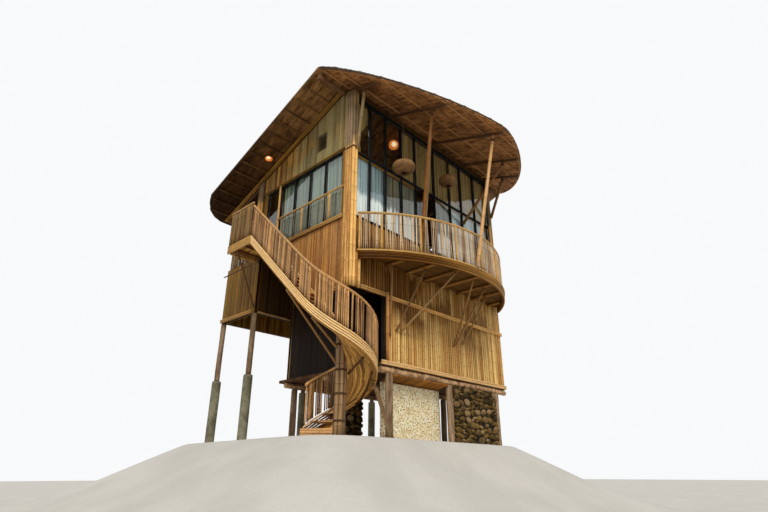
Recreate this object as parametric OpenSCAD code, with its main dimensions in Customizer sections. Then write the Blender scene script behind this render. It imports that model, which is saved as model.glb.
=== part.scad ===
// Bamboo stilt house with a sunken round balcony, a side landing and a winding stair.
// Millimetres, +Z up. X runs along the glass front, Y from the front to the back.
// Inside the modules x = 0, y = 0 is the near front corner of the house and z = 0 the ground.

/* [Levels] */
// Height of the balcony deck above the ground
deck_h = 4500; // [4300:10:4700]
// Height of the upper floor above the ground
floor_h = 5500; // [5400:10:5600]
// Height of the lower floor above the ground
lower_h = 1800; // [1600:10:2000]
// Height of the lower edge of the hanging skirt walls
skirt_h = 3550; // [3450:10:3700]
// Height of the window and door heads on the sides
head_h = 7660; // [7600:10:7800]
// Height of the transom of the glass front
transom_h = 7500; // [7300:10:7700]
// Height of the underside of the roof sheet at the ridge, above the side heads
ridge_rise = 2190; // [2150:10:2300]
// Drop from the ridge to the head of the glass front
glass_drop = 550; // [450:10:750]

/* [House] */
// Width of the house along the glass front
house_w = 6900; // [6800:10:7000]
// Depth of the upper room
room_d = 4650; // [4500:10:4800]
// Depth of the house with the back terrace
house_d = 6050; // [5900:10:6200]
// Place of the lower room's side wall along the front
lower_x = 1350; // [1300:10:1450]
// Depth of the lower room
lower_d = 4200; // [4100:10:4350]
// Thickness of the walls
wall_t = 120; // [100:5:140]
// Thickness of the upper floor
floor_t = 110; // [80:5:140]
// Thickness of the lower floor
lower_floor_t = 80; // [60:5:100]
// Gap between pieces that rest on each other
seat = 0.3; // [0.2:0.1:0.5]

/* [Openings] */
// Width of the lower doorway
doorway_w = 1100; // [900:10:1200]
// Height of the lower doorway
doorway_h = 2050; // [1900:10:2150]
// Distance of the lower doorway from the front wall
doorway_y = 230; // [200:10:300]
// Start of the side windows behind the front
win_y = 450; // [420:10:500]
// End of the side windows
win_end = 3300; // [3200:10:3350]
// Width of the sliding door on the landing
door_w = 680; // [640:10:720]
// Width of the window bars
bar_w = 60; // [40:5:70]
// Depth of the window frames
frame_d = 80; // [60:5:100]
// Thickness of the glass
glass_t = 10; // [6:1:16]
// Width of the gable vent
vent_w = 450; // [400:10:500]
// Height of the gable vent
vent_h = 620; // [560:10:680]

/* [Roof] */
// Distance of the ridge behind the glass front
ridge_y = 420; // [380:10:460]
// Pitch of the long back slope
back_pitch = 20.5; // [20:0.1:21]
// Pitch of the short front slope
front_pitch = 19; // [18:0.1:20]
// Thickness of the roof sheet
roof_t = 90; // [60:5:120]
// Roof overhang past the left wall
over_left = 1100; // [1000:10:1200]
// Roof overhang past the right wall
over_right = 1700; // [1600:10:1800]
// Roof overhang past the terrace
over_back = 650; // [600:10:700]
// Reach of the roof's front point past the glass
over_front = 2680; // [2600:10:2750]
// Exponent of the curved front eave, 2 is an ellipse
eave_power = 1.45; // [1.35:0.05:1.6]
// Radius of the rounded back corners
eave_round = 1100; // [900:10:1200]
// Diameter of the roof battens
batten_d = 50; // [40:2:60]
// Distance between battens
batten_step = 440; // [400:10:520]
// Diameter of the rafters
rafter_d = 90; // [80:2:100]
// Diameter of the ridge beam
ridge_d = 140; // [120:5:160]

/* [Balcony] */
// Width of the balcony along the house
bal_w = 6860; // [6700:10:6900]
// Reach of the balcony past the glass front
bal_d = 1620; // [1500:10:1700]
// Thickness of the balcony deck
deck_t = 60; // [50:5:80]
// Height of the railings
rail_h = 1100; // [1000:10:1150]
// Depth of the curved edge beam
edge_h = 200; // [180:10:240]
// Thickness of the curved edge beam
edge_t = 80; // [60:5:100]
// Diameter of the joists
joist_d = 90; // [80:2:100]
// Diameter of the handrails
hand_d = 70; // [60:2:80]
// Diameter of the balcony balusters
bal_rod = 28; // [24:1:36]
// Arc distance between balusters
bal_step = 105; // [95:5:130]

/* [Landing and stair] */
// Width of the landing
land_w = 1090; // [1050:10:1150]
// Front edge of the landing behind the glass front
land_y = 3030; // [3000:10:3060]
// Back edge of the landing
land_end = 4250; // [4230:10:4300]
// Number of risers
risers = 28; // [27:1:29]
// Length of the straight stretch of the stair
run_l = 2200; // [2150:10:2250]
// Length over which the stair bends into its turn
bend_l = 1110; // [1080:10:1150]
// Radius of the outer edge in the turn
turn_r = 900; // [880:10:920]
// Angle by which the straight stretch leans to the wall
lean = 5.7; // [5.4:0.1:6]
// Slope of the straight stretch
steep = 1.0; // [0.96:0.01:1.04]
// Slope of the outer edge in the turn
gentle = 0.54; // [0.52:0.01:0.56]
// Clear width of the stair
stair_w = 820; // [780:10:830]
// Radius of each pole of the outer string
string_r = 34; // [32:1:36]
// Thickness of the treads
tread_t = 45; // [35:5:50]
// Depth of the stair from its nosings to the soffit
stair_t = 290; // [285:5:300]
// Height of the stair's handrail
stair_rail_h = 930; // [900:10:980]
// Distance between stair balusters
stair_step = 95; // [80:5:120]
// Radius of the poles in the stair's post
post_culm = 50; // [45:1:55]

/* [Poles and base] */
// Radius of the corner culms
culm_r = 45; // [40:1:48]
// Diameter of the paired trim poles
trim_d = 64; // [56:2:70]
// Radius of the tree-trunk posts
trunk_r = 98; // [90:2:105]
// Radius of the concrete sleeves
sleeve_r = 135; // [125:5:150]
// Height of the concrete sleeves
sleeve_h = 1850; // [1700:10:1950]
// Distance from the lower side wall to the first row of trunk posts
trunk_in = 110; // [100:5:130]
// Distance from the first row of trunk posts to the middle row
trunk_bay = 2490; // [2400:10:2600]
// Distance from the right wall to the last row of trunk posts
trunk_end = 550; // [500:10:600]
// Distance from the front wall to the first row of trunk posts
trunk_front = 60; // [50:5:70]
// Distance from the front wall to the middle row of trunk posts
trunk_mid = 2100; // [2000:10:2200]
// Distance from the back of the lower room to the last row of trunk posts
trunk_back = 300; // [250:10:350]
// Radius of the log beams under the lower floor
log_r = 85; // [80:1:95]
// Thickness of the plaster panel
plaster_t = 150; // [120:10:180]
// Thickness of the stone walls
stone_t = 300; // [260:10:340]
// Radius of the roof struts
strut_r = 52; // [44:1:56]

/* [Hidden] */
$fn = 32;

// Colours
tan_bamboo = "burlywood";
dark_bamboo = "peru";
old_bamboo = "saddlebrown";
trunk_col = "rosybrown";
black_frame = "darkslategray";

// Heights of the ridge and of the glass front
ridge_h = head_h + ridge_rise;
glass_head_h = ridge_h - glass_drop;

// The house stands with the middle of its box on the origin
eave_x0 = -over_left;
eave_x1 = house_w + over_right;
eave_y0 = -over_front;
eave_y1 = house_d + over_back;
mid_x = (eave_x0 + eave_x1) / 2;
mid_y = (eave_y0 + eave_y1) / 2;
eave_a = (eave_x1 - eave_x0) / 2;
eave_b = over_front + ridge_y;

module place() translate([-mid_x, -mid_y, 0]) children();

// An outline in Y and Z, drawn out along X
module along_x(x0, len) translate([x0, 0, 0]) rotate([90, 0, 90]) linear_extrude(len) children();

// A box between two corners
module block(a, b) translate(a) cube(b - a);

// A straight pole between two points, turned on its own axis by some degrees
module pole(a, b, r, turn = 0) {
    d = b - a;
    len = norm(d);
    translate(a) rotate([0, acos(d[2] / len), atan2(d[1], d[0])]) rotate(turn) cylinder(r = r, h = len);
}

// A pole with flat cut ends. Each end lies against a seat whose normal is axis k,
// and s is the side of the seat on which the pole stands.
function unit(v) = v / norm(v);
function cut_low(p, k, s, far) = [for (i = [0:2]) i == k && s > 0 ? p[i] + seat : -far];
function cut_high(p, k, s, far) = [for (i = [0:2]) i == k && s < 0 ? p[i] - seat : far];
module prop(a, ka, sa, b, kb, sb, r) {
    d = unit(b - a);
    far = 20000;
    intersection() {
        pole(a - d * 4 * r, b + d * 4 * r, r, 40);
        block(cut_low(a, ka, sa, far), cut_high(a, ka, sa, far));
        block(cut_low(b, kb, sb, far), cut_high(b, kb, sb, far));
    }
}

// Roof planes: height of the sheet's underside, and of a layer at a depth under it
function pitch(y) = y > ridge_y ? back_pitch : front_pitch;
function roof_z(y) = ridge_h - abs(y - ridge_y) * tan(pitch(y));
function under(y, d) = roof_z(y) - d / cos(pitch(y));
batten_depth = batten_d + 2 * seat;
rafter_depth = batten_depth + rafter_d + seat;
// Half length of the roof at a place from front to back
function reach(y) =
    y < ridge_y ? eave_a * pow(max(0, 1 - pow(min(1, (ridge_y - y) / eave_b), eave_power)), 1 / eave_power)
    : y > eave_y1 - eave_round
        ? eave_a - eave_round + sqrt(max(0, pow(eave_round, 2) - pow(y - eave_y1 + eave_round, 2)))
    : eave_a;
// Front edge of the roof at a place along the house
function eave_front(x) =
    ridge_y - eave_b * pow(max(0, 1 - pow(min(1, abs(x - mid_x) / eave_a), eave_power)), 1 / eave_power);

module roof_sheet(y0, y1) {
    pts = [[y0, roof_z(y0)], [y1, roof_z(y1)], [y1, under(y1, -roof_t)], [y0, under(y0, -roof_t)]];
    along_x(eave_x0 - 10, eave_x1 - eave_x0 + 20) polygon(pts);
}

function sgn_pow(v, e) = sign(v) * pow(abs(v), e);
module front_outline() {
    e = 2 / eave_power;
    polygon([for (t = [0:5:180]) [mid_x + eave_a * sgn_pow(cos(t), e), ridge_y - eave_b * pow(sin(t), e)]]);
}
module back_outline() {
    r = eave_round;
    polygon(concat(
        [[eave_x0, ridge_y], [eave_x1, ridge_y]],
        [for (t = [0:10:90]) [eave_x1 - r + r * cos(t), eave_y1 - r + r * sin(t)]],
        [for (t = [90:10:180]) [eave_x0 + r + r * cos(t), eave_y1 - r + r * sin(t)]]));
}
module roof_front() color(old_bamboo) place() intersection() {
    // the front slope's underside, from its point to the ridge
    along_x(eave_x0 - 10, eave_x1 - eave_x0 + 20)
        polygon([[eave_y0 - 10, roof_z(eave_y0 - 10)], [ridge_y, ridge_h],
                 [ridge_y, ridge_h + roof_t / cos(front_pitch)],
                 [eave_y0 - 10, under(eave_y0 - 10, -roof_t)]]);
    translate([0, 0, ridge_h - 2000]) linear_extrude(3000) front_outline();
}
module roof_back() color(old_bamboo) place() intersection() {
    along_x(eave_x0 - 10, eave_x1 - eave_x0 + 20)
        polygon([[ridge_y, ridge_h], [eave_y1 + 10, roof_z(eave_y1 + 10)],
                 [eave_y1 + 10, under(eave_y1 + 10, -roof_t)],
                 [ridge_y, ridge_h + roof_t / cos(front_pitch)]]);
    translate([0, 0, ridge_h - 4000]) linear_extrude(5000) back_outline();
}

// Battens lie level under the sheet
batten_first = 150;
front_battens = [for (y = [ridge_y - batten_first : -batten_step : eave_y0 + 250]) y];
back_battens = [for (y = [ridge_y + batten_first : batten_step : eave_y1 - 60]) y];
batten_inset = 70;
module roof_battens() color(tan_bamboo) place()
    for (y = concat(front_battens, back_battens)) {
        z = under(y, batten_d / 2 + seat);
        half = reach(y) - batten_inset;
        translate([mid_x - half, y, z]) rotate([0, 90, 0]) cylinder(d = batten_d, h = 2 * half);
    }

// Rafters run from eave to eave under the battens
rafter_x = [wall_t / 2, 1730, 3710, 5530, house_w - wall_t / 2];
rafter_end = 90;
module rafter(x, y1, r = rafter_d / 2) {
    d = batten_depth + r;
    t = y1 > ridge_y ? 1 : -1;
    a = [x, ridge_y, ridge_h - d / cos(pitch(y1))];
    b = [x, y1, under(y1, d)];
    back = unit(a - b) * rafter_d;
    intersection() {
        pole(a + back, b, r);
        block([x - rafter_d, ridge_y + (t > 0 ? seat / 2 : y1 - ridge_y - rafter_d), 0],
              [x + rafter_d, ridge_y + (t > 0 ? y1 - ridge_y + rafter_d : -seat / 2), ridge_h]);
    }
}
// The last two poles follow the left gable outside the wall
module rafters() color(tan_bamboo) place() {
    for (x = rafter_x) {
        rafter(x, eave_front(x) + rafter_end);
        rafter(x, eave_y1 - rafter_end - (x < eave_round || x > eave_x1 - eave_round ? 120 : 0));
    }
    for (i = [0:1]) rafter(-trim_r - 6 - i * (trim_d + 2), eave_y1 - rafter_end - 120, trim_r);
}
ridge_z = ridge_h - (rafter_depth + seat + ridge_d / 2) / cos(back_pitch);
ridge_end = 60;
module ridge_beam() color(old_bamboo) place()
    translate([eave_x0 + ridge_end, ridge_y, ridge_z]) rotate([0, 90, 0])
        cylinder(d = ridge_d, h = eave_x1 - eave_x0 - 2 * ridge_end - 150);

// Upper walls
wall_top = rafter_depth + seat;
module gable_shape(y0) {
    polygon([[y0, head_h + seat], [room_d, head_h + seat], [room_d, under(room_d, wall_top)],
             [ridge_y, ridge_h - wall_top / cos(back_pitch)], [y0, under(y0, wall_top)]]);
}
vent_y = 1180;
vent_z = head_h + 440;
module side_gable(x0) difference() {
    along_x(x0, wall_t) gable_shape(wall_t + seat);
    translate([x0 - 10, ridge_y, ridge_z]) rotate([0, 90, 0]) cylinder(d = ridge_d + 2 * seat, h = wall_t + 20);
    block([x0 - 10, vent_y, vent_z], [x0 + wall_t + 10, vent_y + vent_w, vent_z + vent_h]);
}
module left_gable() color(dark_bamboo) place() side_gable(0);
module right_gable() color(dark_bamboo) place() side_gable(house_w - wall_t);

// The vent is a frame with sloping louvre blades
vent_bar = 40;
blade_t = 12;
blades = 7;
module vent(x0) {
    y0 = vent_y + seat;
    y1 = vent_y + vent_w - seat;
    z0 = vent_z + seat;
    z1 = vent_z + vent_h - seat;
    difference() {
        block([x0 + 20, y0, z0], [x0 + wall_t - 20, y1, z1]);
        block([x0, y0 + vent_bar, z0 + vent_bar], [x0 + wall_t, y1 - vent_bar, z1 - vent_bar]);
    }
    pitch_z = (vent_h - 2 * vent_bar) / blades;
    for (i = [0 : blades - 1])
        translate([0, 0, z0 + vent_bar + (i + 0.5) * pitch_z])
            rotate([90, 0, 0]) translate([x0 + wall_t / 2, 0, -y1 + vent_bar - 5])
                linear_extrude(y1 - y0 - 2 * vent_bar + 10) rotate(40)
                    square([70, blade_t], center = true);
}
module gable_vents() color(dark_bamboo) place() {
    vent(0);
    vent(house_w - wall_t);
}

// Slim wall pieces beside the side windows
door_y = win_end + bar_w;
door_end = door_y + door_w;
module pier(x0, y0, y1) block([x0, y0, floor_h + seat], [x0 + wall_t, y1, head_h]);
module side_piers() color(tan_bamboo) place() {
    pier(0, wall_t + seat, win_y);
    pier(0, door_end, room_d - wall_t - seat);
    pier(house_w - wall_t, wall_t + seat, win_y);
    pier(house_w - wall_t, win_end, room_d - wall_t - seat);
}

// Window bars: places of the bars between the first and the last
side_bars = [1200, 1900, 2630];
back_x0 = 1400;
back_door = back_x0 + door_w + bar_w;
back_bars = [3150, 4050];
back_x1 = 4950;
module pane_holes(edges, z0, z1) for (i = [0 : len(edges) - 2])
    block([edges[i] + bar_w / 2, -1, z0 + bar_w], [edges[i + 1] - bar_w / 2, frame_d + 1, z1 - bar_w]);
module frame_row(edges, z0, z1) difference() {
    block([edges[0], 0, z0], [edges[len(edges) - 1], frame_d, z1]);
    pane_holes(edges, z0, z1);
}
module pane_row(edges, z0, z1) for (i = [0 : len(edges) - 2])
    block([edges[i] + bar_w / 2 + seat, (frame_d - glass_t) / 2, z0 + bar_w + seat],
          [edges[i + 1] - bar_w / 2 - seat, (frame_d + glass_t) / 2, z1 - bar_w - seat]);
left_edges = concat([win_y + seat], side_bars, [door_y, door_end - seat]);
right_edges = concat([win_y + seat], side_bars, [win_end - seat]);
back_edges = concat([back_x0 + seat, back_door], back_bars, [back_x1 - seat]);
frame_in = (wall_t - frame_d) / 2;
module side_row(x0) translate([x0 + frame_in + frame_d, 0, 0]) rotate([0, 0, 90]) children();
module back_row() translate([0, room_d - wall_t + frame_in, 0]) children();
module window_frames() color(black_frame) place() {
    side_row(0) frame_row(left_edges, floor_h + seat, head_h);
    side_row(house_w - wall_t) frame_row(right_edges, floor_h + seat, head_h);
    back_row() frame_row(back_edges, floor_h + 2 * seat, head_h - seat);
}
module window_glass() color("lightblue", 0.4) place() {
    side_row(0) pane_row(left_edges, floor_h + seat, head_h);
    side_row(house_w - wall_t) pane_row(right_edges, floor_h + seat, head_h);
    back_row() pane_row(back_edges, floor_h + 2 * seat, head_h - seat);
}
module back_wall() color(dark_bamboo) place() difference() {
    block([wall_t + seat, room_d - wall_t, floor_h + seat],
          [house_w - wall_t - seat, room_d, under(room_d, wall_top)]);
    block([back_x0, room_d - wall_t - 10, floor_h - 10], [back_x1, room_d + 10, head_h]);
}

// Glass front
front_bars = [bar_w / 2, 670, 1320, 2020, 2680, 3630, 4470, 5140, 5950, house_w - bar_w / 2];
open_bay = 4;
leaf_x = 3150;
low_z = floor_h - 60;
module glass_wall_frame() color(black_frame) place() {
    h = bar_w / 2;
    difference() {
        block([0, frame_in, low_z], [house_w, frame_in + frame_d, under(0, wall_top)]);
        for (i = [0 : len(front_bars) - 2]) {
            a = front_bars[i] + h;
            b = front_bars[i + 1] - h;
            block([a, 0, transom_h + h], [b, wall_t, glass_head_h]);
            if (i != open_bay) block([a, 0, low_z + bar_w + 40], [b, wall_t, transom_h - h]);
        }
        block([front_bars[open_bay] + h, 0, low_z + bar_w + 40], [leaf_x - h, wall_t, transom_h - h]);
        block([leaf_x + h, 0, low_z + bar_w], [front_bars[open_bay + 1] - h, wall_t, transom_h - h]);
    }
}
module glass_wall_panes() color("lightblue", 0.4) place() {
    h = bar_w / 2;
    y0 = (wall_t - glass_t) / 2;
    for (i = [0 : len(front_bars) - 2]) {
        a = front_bars[i] + h + seat;
        b = front_bars[i + 1] - h - seat;
        block([a, y0, transom_h + h + seat], [b, y0 + glass_t, glass_head_h - seat]);
        c = i == open_bay ? leaf_x - h - seat : b;
        block([a, y0, low_z + bar_w + 40 + seat], [c, y0 + glass_t, transom_h - h - seat]);
    }
}

// Hanging skirt walls and the band under the glass
module front_band_wall() color(tan_bamboo) place()
    block([0, 0, skirt_h], [house_w, wall_t, low_z - seat]);
skirt_flat = 1700;
module left_skirt_wall() color(old_bamboo) place() along_x(0, wall_t)
    polygon([[wall_t + seat, skirt_h - 50], [skirt_flat, skirt_h - 50],
             [lower_d - seat, floor_h], [wall_t + seat, floor_h]]);
wing_h = skirt_h + 130;
module wing_skirt() color(tan_bamboo) place() {
    block([0, lower_d, wing_h], [wall_t, house_d, floor_h]);
    block([house_w - wall_t, lower_d + seat, wing_h], [house_w, house_d, floor_h]);
    block([wall_t + seat, house_d - wall_t, wing_h], [house_w - wall_t - seat, house_d, floor_h]);
    block([wall_t + seat, lower_d, wing_h], [lower_x - seat, lower_d + wall_t, floor_h - floor_t - seat]);
}
// Upper floor with the joists that it rests on
floor_joist_w = 80;
floor_joist_d = 130;
floor_joists = [for (y = [700 : 600 : 3700]) y];
module upper_floor() color(dark_bamboo) place() {
    block([wall_t + seat, wall_t + seat, floor_h - floor_t],
          [house_w - wall_t - seat, house_d - wall_t - seat, floor_h]);
    for (y = floor_joists)
        block([wall_t + seat, y, floor_h - floor_t - seat - floor_joist_d],
              [lower_x - seat, y + floor_joist_w, floor_h - floor_t - seat]);
}

// Lower room
room_top = floor_h - floor_t - seat;
module lower_floor() color(dark_bamboo) place()
    block([lower_x - 250, 0, lower_h - lower_floor_t], [house_w, lower_d, lower_h]);
module lower_front_wall() color(tan_bamboo) place()
    block([lower_x, 0, lower_h + seat], [house_w, wall_t, skirt_h - seat]);
module lower_side_wall() color(old_bamboo) place() difference() {
    block([lower_x, wall_t + seat, lower_h + seat], [lower_x + wall_t, lower_d - wall_t - seat, room_top]);
    block([lower_x - 10, doorway_y, lower_h - 10],
          [lower_x + wall_t + 10, doorway_y + doorway_w, lower_h + doorway_h]);
}
module lower_right_wall() color(tan_bamboo) place()
    block([house_w - wall_t, wall_t + seat, lower_h + seat], [house_w, lower_d - wall_t - seat, room_top]);
module lower_back_wall() color(tan_bamboo) place()
    block([lower_x, lower_d - wall_t, lower_h + seat], [house_w - wall_t - seat, lower_d, room_top]);

// Paired poles that trim the edges of the walls
trim_r = trim_d / 2;
pair_lap = 6;
// Height of a pair's upper pole when the lower one rests on a level
function pair_on(z) = z + 1.5 * trim_d - pair_lap + seat;
module pair(a, b) {
    drop = [0, 0, trim_d - pair_lap];
    pole(a, b, trim_r);
    pole(a - drop, b - drop, trim_r);
}
culm_pitch = 2 * culm_r + 1;
first_culm = 62;
trim_start = first_culm + 3 * culm_pitch;
trim_y = -trim_r - seat;
slim_r = 32;
slim_y = win_end + bar_w / 2;
module trim_poles() color(tan_bamboo) place() {
    pair([lower_x + seat, trim_y, skirt_h], [house_w, trim_y, skirt_h]);
    pair([trim_start, trim_y, skirt_h + 40], [lower_x - 2 * culm_r - seat, trim_y, skirt_h + 40]);
    pair([lower_x - 240, trim_y, lower_h + 20], [house_w, trim_y, lower_h + 20]);
    pair([trim_y, trim_start, pair_on(floor_h)], [trim_y, slim_y - slim_r - seat, pair_on(floor_h)]);
    pair([trim_y, trim_start, skirt_h], [trim_y, skirt_flat, skirt_h]);
    pair([trim_y, land_end + 60, pair_on(wing_h)], [trim_y, house_d, pair_on(wing_h)]);
    // single poles over the side windows and along the foot of the wing's front wall
    pole([trim_y, trim_start, head_h + 2 * seat + trim_r], [trim_y, land_end, head_h + 2 * seat + trim_r], trim_r);
    pole([wall_t + 5, lower_d + trim_y, wing_h + trim_r], [lower_x - 5, lower_d + trim_y, wing_h + trim_r], trim_r);
}

// Rail with thin rods in front of the side windows
win_rail_h = 960;
win_rod = 22;
module window_rail() color(tan_bamboo) place() {
    x = -hand_d / 2 - seat;
    z0 = pair_on(floor_h) + trim_r + seat;
    z1 = floor_h + win_rail_h;
    pole([x, trim_start, z1], [x, slim_y - slim_r - seat, z1], hand_d / 2);
    for (y = [trim_start + 60 : 150 : win_end - 80])
        translate([x, y, z0]) cylinder(d = win_rod, h = z1 - z0, $fn = 6);
}

// Bundles of culms at the corners
module culm(x, y, z0, z1) translate([x, y, z0]) cylinder(r = culm_r, h = z1 - z0);
culm_off = culm_r + seat;
culm_foot = skirt_h - 50;
module culm_posts() color(tan_bamboo) place() {
    top = under(-2 * culm_r, rafter_depth + seat);
    diag = culm_off / sqrt(2);
    culm(-diag, -diag, culm_foot, top);
    for (i = [0:2]) culm(-culm_off, first_culm + i * culm_pitch, culm_foot, top);
    culm(first_culm, -culm_off, culm_foot, top);
    // two short ones that end under the deck
    for (i = [1:2]) culm(first_culm + i * culm_pitch, -culm_off, culm_foot, deck_h - deck_t - seat);
    for (i = [0:1]) culm(house_w - first_culm - i * culm_pitch, -culm_off, deck_h + seat, top);
    for (i = [0:2]) {
        y = land_end + culm_r + 20 + i * culm_pitch;
        culm(-culm_off, y, floor_h - 60, under(y + culm_r, rafter_depth + seat));
    }
    translate([-slim_r - seat, slim_y, floor_h + seat]) cylinder(r = slim_r, h = head_h - floor_h);
    // jamb and head of the lower doorway
    translate([lower_x - 45, -culm_off, lower_h + 60]) cylinder(r = culm_r, h = skirt_h - lower_h + 20);
}

// Curtains hang behind the lower panes, and a second row of them behind the upper ones
curtain_t = 30;
curtain_y = wall_t - frame_in + seat;
front_curtains = [[150, 1290], [1350, 2650], [3700, 4440], [4500, 6700]];
side_curtains = [[500, 1870], [1930, 3250]];
drape_low = transom_h + 60;
drape_high = glass_head_h - 40;
module curtains() color("lightsteelblue") place() {
    for (c = front_curtains) block([c[0], curtain_y, floor_h + 15], [c[1], curtain_y + curtain_t, transom_h + 20]);
    for (c = side_curtains)
        block([curtain_y, c[0], floor_h + 15], [curtain_y + curtain_t, c[1], head_h - 20]);
    block([2060, curtain_y, drape_low], [house_w - wall_t - 40, curtain_y + curtain_t, drape_high]);
    // the first one is drawn aside
    translate([0, curtain_y + curtain_t, drape_low]) rotate([90, 0, 0]) linear_extrude(curtain_t)
        polygon([[150, 0], [380, 0], [300, 650], [480, 900], [640, 1220], [640, drape_high - drape_low],
                 [150, drape_high - drape_low]]);
}

// Basket shades on cords under a batten of the front eave, and a small lamp under the left eave
shade_h = 420;
shades = [[1390, 2785, 340], [3510, 3273, 300]];
module shade(r) rotate_extrude() polygon(concat([[0, 0]],
    [for (t = [-75:15:75]) [r * cos(t), shade_h / 2 * (1 + sin(t))]], [[0, shade_h]]));
shade_y = front_battens[2];
function hook_z(y) = under(y, batten_d / 2 + seat) - batten_d / 2 - seat;
lamp_x = -440;
lamp_y = back_battens[7];
module lamps() color("wheat") place() {
    for (s = shades) translate([s[0], shade_y, deck_h + s[1] - shade_h / 2]) {
        shade(s[2]);
        translate([0, 0, shade_h - 8]) cylinder(r = 8, h = hook_z(shade_y) - deck_h - s[1] - shade_h / 2 + 8);
    }
    translate([lamp_x, lamp_y, hook_z(lamp_y) - 60]) cylinder(r1 = 75, r2 = 55, h = 60);
}

// Balcony: a segment of a circle whose chord is the front wall
bal_x = house_w / 2;
bal_r = (pow(bal_w / 2, 2) + pow(bal_d, 2)) / (2 * bal_d);
bal_cy = bal_r - bal_d;
function bal_front(x, r) = bal_cy - sqrt(max(0, r * r - pow(x - bal_x, 2)));
// Angles from the balcony's middle line to the rail's left and right ends
function rail_left(r) = acos((bal_cy + hand_d / 2 + 10) / r);
function rail_right(r) = acos((bal_cy + 2 * culm_r + hand_d / 2) / r);
bundle_d = 2 * culm_r + 2 * seat;
bundle_x0 = first_culm + 2 * culm_pitch + culm_r + seat;
bundle_x1 = house_w - first_culm - culm_pitch - culm_r - seat;
// The front half of a round form, cut round the corner bundles
module front_half(x0) difference() {
    intersection() {
        children();
        block([-200, -bal_d - 300, 0], [house_w + 200, -seat, ridge_h]);
    }
    block([-200, -bundle_d, 0], [x0, 100, ridge_h]);
    block([bundle_x1, -bundle_d, 0], [house_w + 200, 100, ridge_h]);
}
module balcony_deck() color(tan_bamboo) place()
    front_half(first_culm + culm_r + seat) translate([bal_x, bal_cy, deck_h - deck_t]) cylinder(r = bal_r, h = deck_t, $fn = 360);
edge_in = 20;
module balcony_edge() color(tan_bamboo) place()
    front_half(bundle_x0) translate([bal_x, bal_cy, deck_h - deck_t - seat - edge_h]) difference() {
        cylinder(r = bal_r - edge_in, h = edge_h, $fn = 360);
        translate([0, 0, -1]) cylinder(r = bal_r - edge_in - edge_t, h = edge_h + 2, $fn = 360);
    }
joist_x = [520, 1300, 2100, 2900, 3700, 4500, 5300, 6200];
joist_z = deck_h - deck_t - seat - joist_d / 2;
module balcony_joists() color(tan_bamboo) place() for (x = joist_x) {
    y1 = bal_front(abs(x - bal_x) + joist_d / 2 + bal_x, bal_r - edge_in - edge_t) + seat;
    pole([x, -seat, joist_z], [x, y1, joist_z], joist_d / 2);
}
rail_in = 90;
rail_r = bal_r - rail_in;
module arc_rail(r, z, d) {
    a = rail_left(rail_r);
    translate([bal_x, bal_cy, z]) rotate([0, 0, 270 - a]) rotate_extrude(angle = a + rail_right(rail_r), $fn = 180)
        translate([r, 0]) circle(d = d, $fn = 24);
}
module balcony_handrail() color(tan_bamboo) place() arc_rail(rail_r, deck_h + rail_h - hand_d / 2, hand_d);
bal_posts = [-48.2, -40.6, -26.7, -11.7, 2.6, 16.7, 30.8, 47.1];
module arc_rod(a, d) {
    h = rail_h - hand_d - 2 * seat;
    translate([bal_x + rail_r * sin(a), bal_cy - rail_r * cos(a), deck_h + seat]) cylinder(d = d, h = h, $fn = 8);
}
module balcony_balusters() color(tan_bamboo) place() {
    a = rail_left(rail_r);
    span = a + rail_right(rail_r);
    n = floor(span * PI / 180 * rail_r / bal_step);
    for (p = bal_posts) arc_rod(p, hand_d);
    for (i = [1 : n - 1]) {
        t = -a + span * i / n;
        if (min([for (p = bal_posts) abs(p - t)]) * PI / 180 * rail_r > (hand_d + bal_rod) / 2 + 8)
            arc_rod(t, bal_rod);
    }
}
// Props under the balcony: foot along the wall, height of the foot, joist that they carry and its reach
prop_list = [[1660, 2660, 2, 710], [1810, 2640, 3, 1150], [4180, 2670, 4, 1170],
             [4260, 2710, 5, 1030], [4630, 2810, 6, 550]];
module balcony_props() color(tan_bamboo) place() {
    for (p = prop_list)
        prop([p[0], 0, p[1]], 1, -1, [joist_x[p[2]], -p[3], joist_z - joist_d / 2], 2, -1, 30);
    prop([1420, 0, 2480], 1, -1, [joist_x[1], -220, joist_z - joist_d / 2], 2, -1, 34);
}

// Roof struts: foot, then the rafter and the place under it
module strut(foot, k, s, x, y) {
    far = 20000;
    top = [x, y, under(y, rafter_depth)];
    d = unit(top - foot);
    difference() {
        intersection() {
            pole(foot - d * 4 * strut_r, top + d * 4 * strut_r, strut_r, 40);
            block(cut_low(foot, k, s, far), cut_high(foot, k, s, far));
        }
        translate(top) rotate([front_pitch, 0, 0])
            translate([-5 * strut_r, -10 * strut_r, 0]) cube([10 * strut_r, 20 * strut_r, 12 * strut_r]);
    }
}
// The biggest strut stands on the deck's lip, outside the handrail
mid_strut_x = 3250;
mid_strut_reach = 2240;
side_strut_x = 1650;
side_strut_foot = 925;
side_strut_reach = 1450;
strut_out = -bal_front(mid_strut_x, rail_r + hand_d / 2 + strut_r + 4);
module roof_struts() color(tan_bamboo) place() {
    strut([first_culm, -bundle_d + seat, transom_h], 1, -1, rafter_x[0], -330);
    strut([side_strut_x, -side_strut_foot, deck_h], 2, 1, rafter_x[1], -side_strut_reach);
    strut([mid_strut_x, -strut_out, deck_h], 2, 1, rafter_x[2], -mid_strut_reach);
    strut([front_bars[7], frame_in, transom_h - 450], 1, -1, rafter_x[3], -1550);
    strut([house_w - first_culm, -bundle_d + seat, transom_h + 380], 1, -1, rafter_x[4], -730);
}

// Landing
land_poles = 4;
land_out = -land_w + string_r;
string_drop = 1.86 * string_r;
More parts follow.
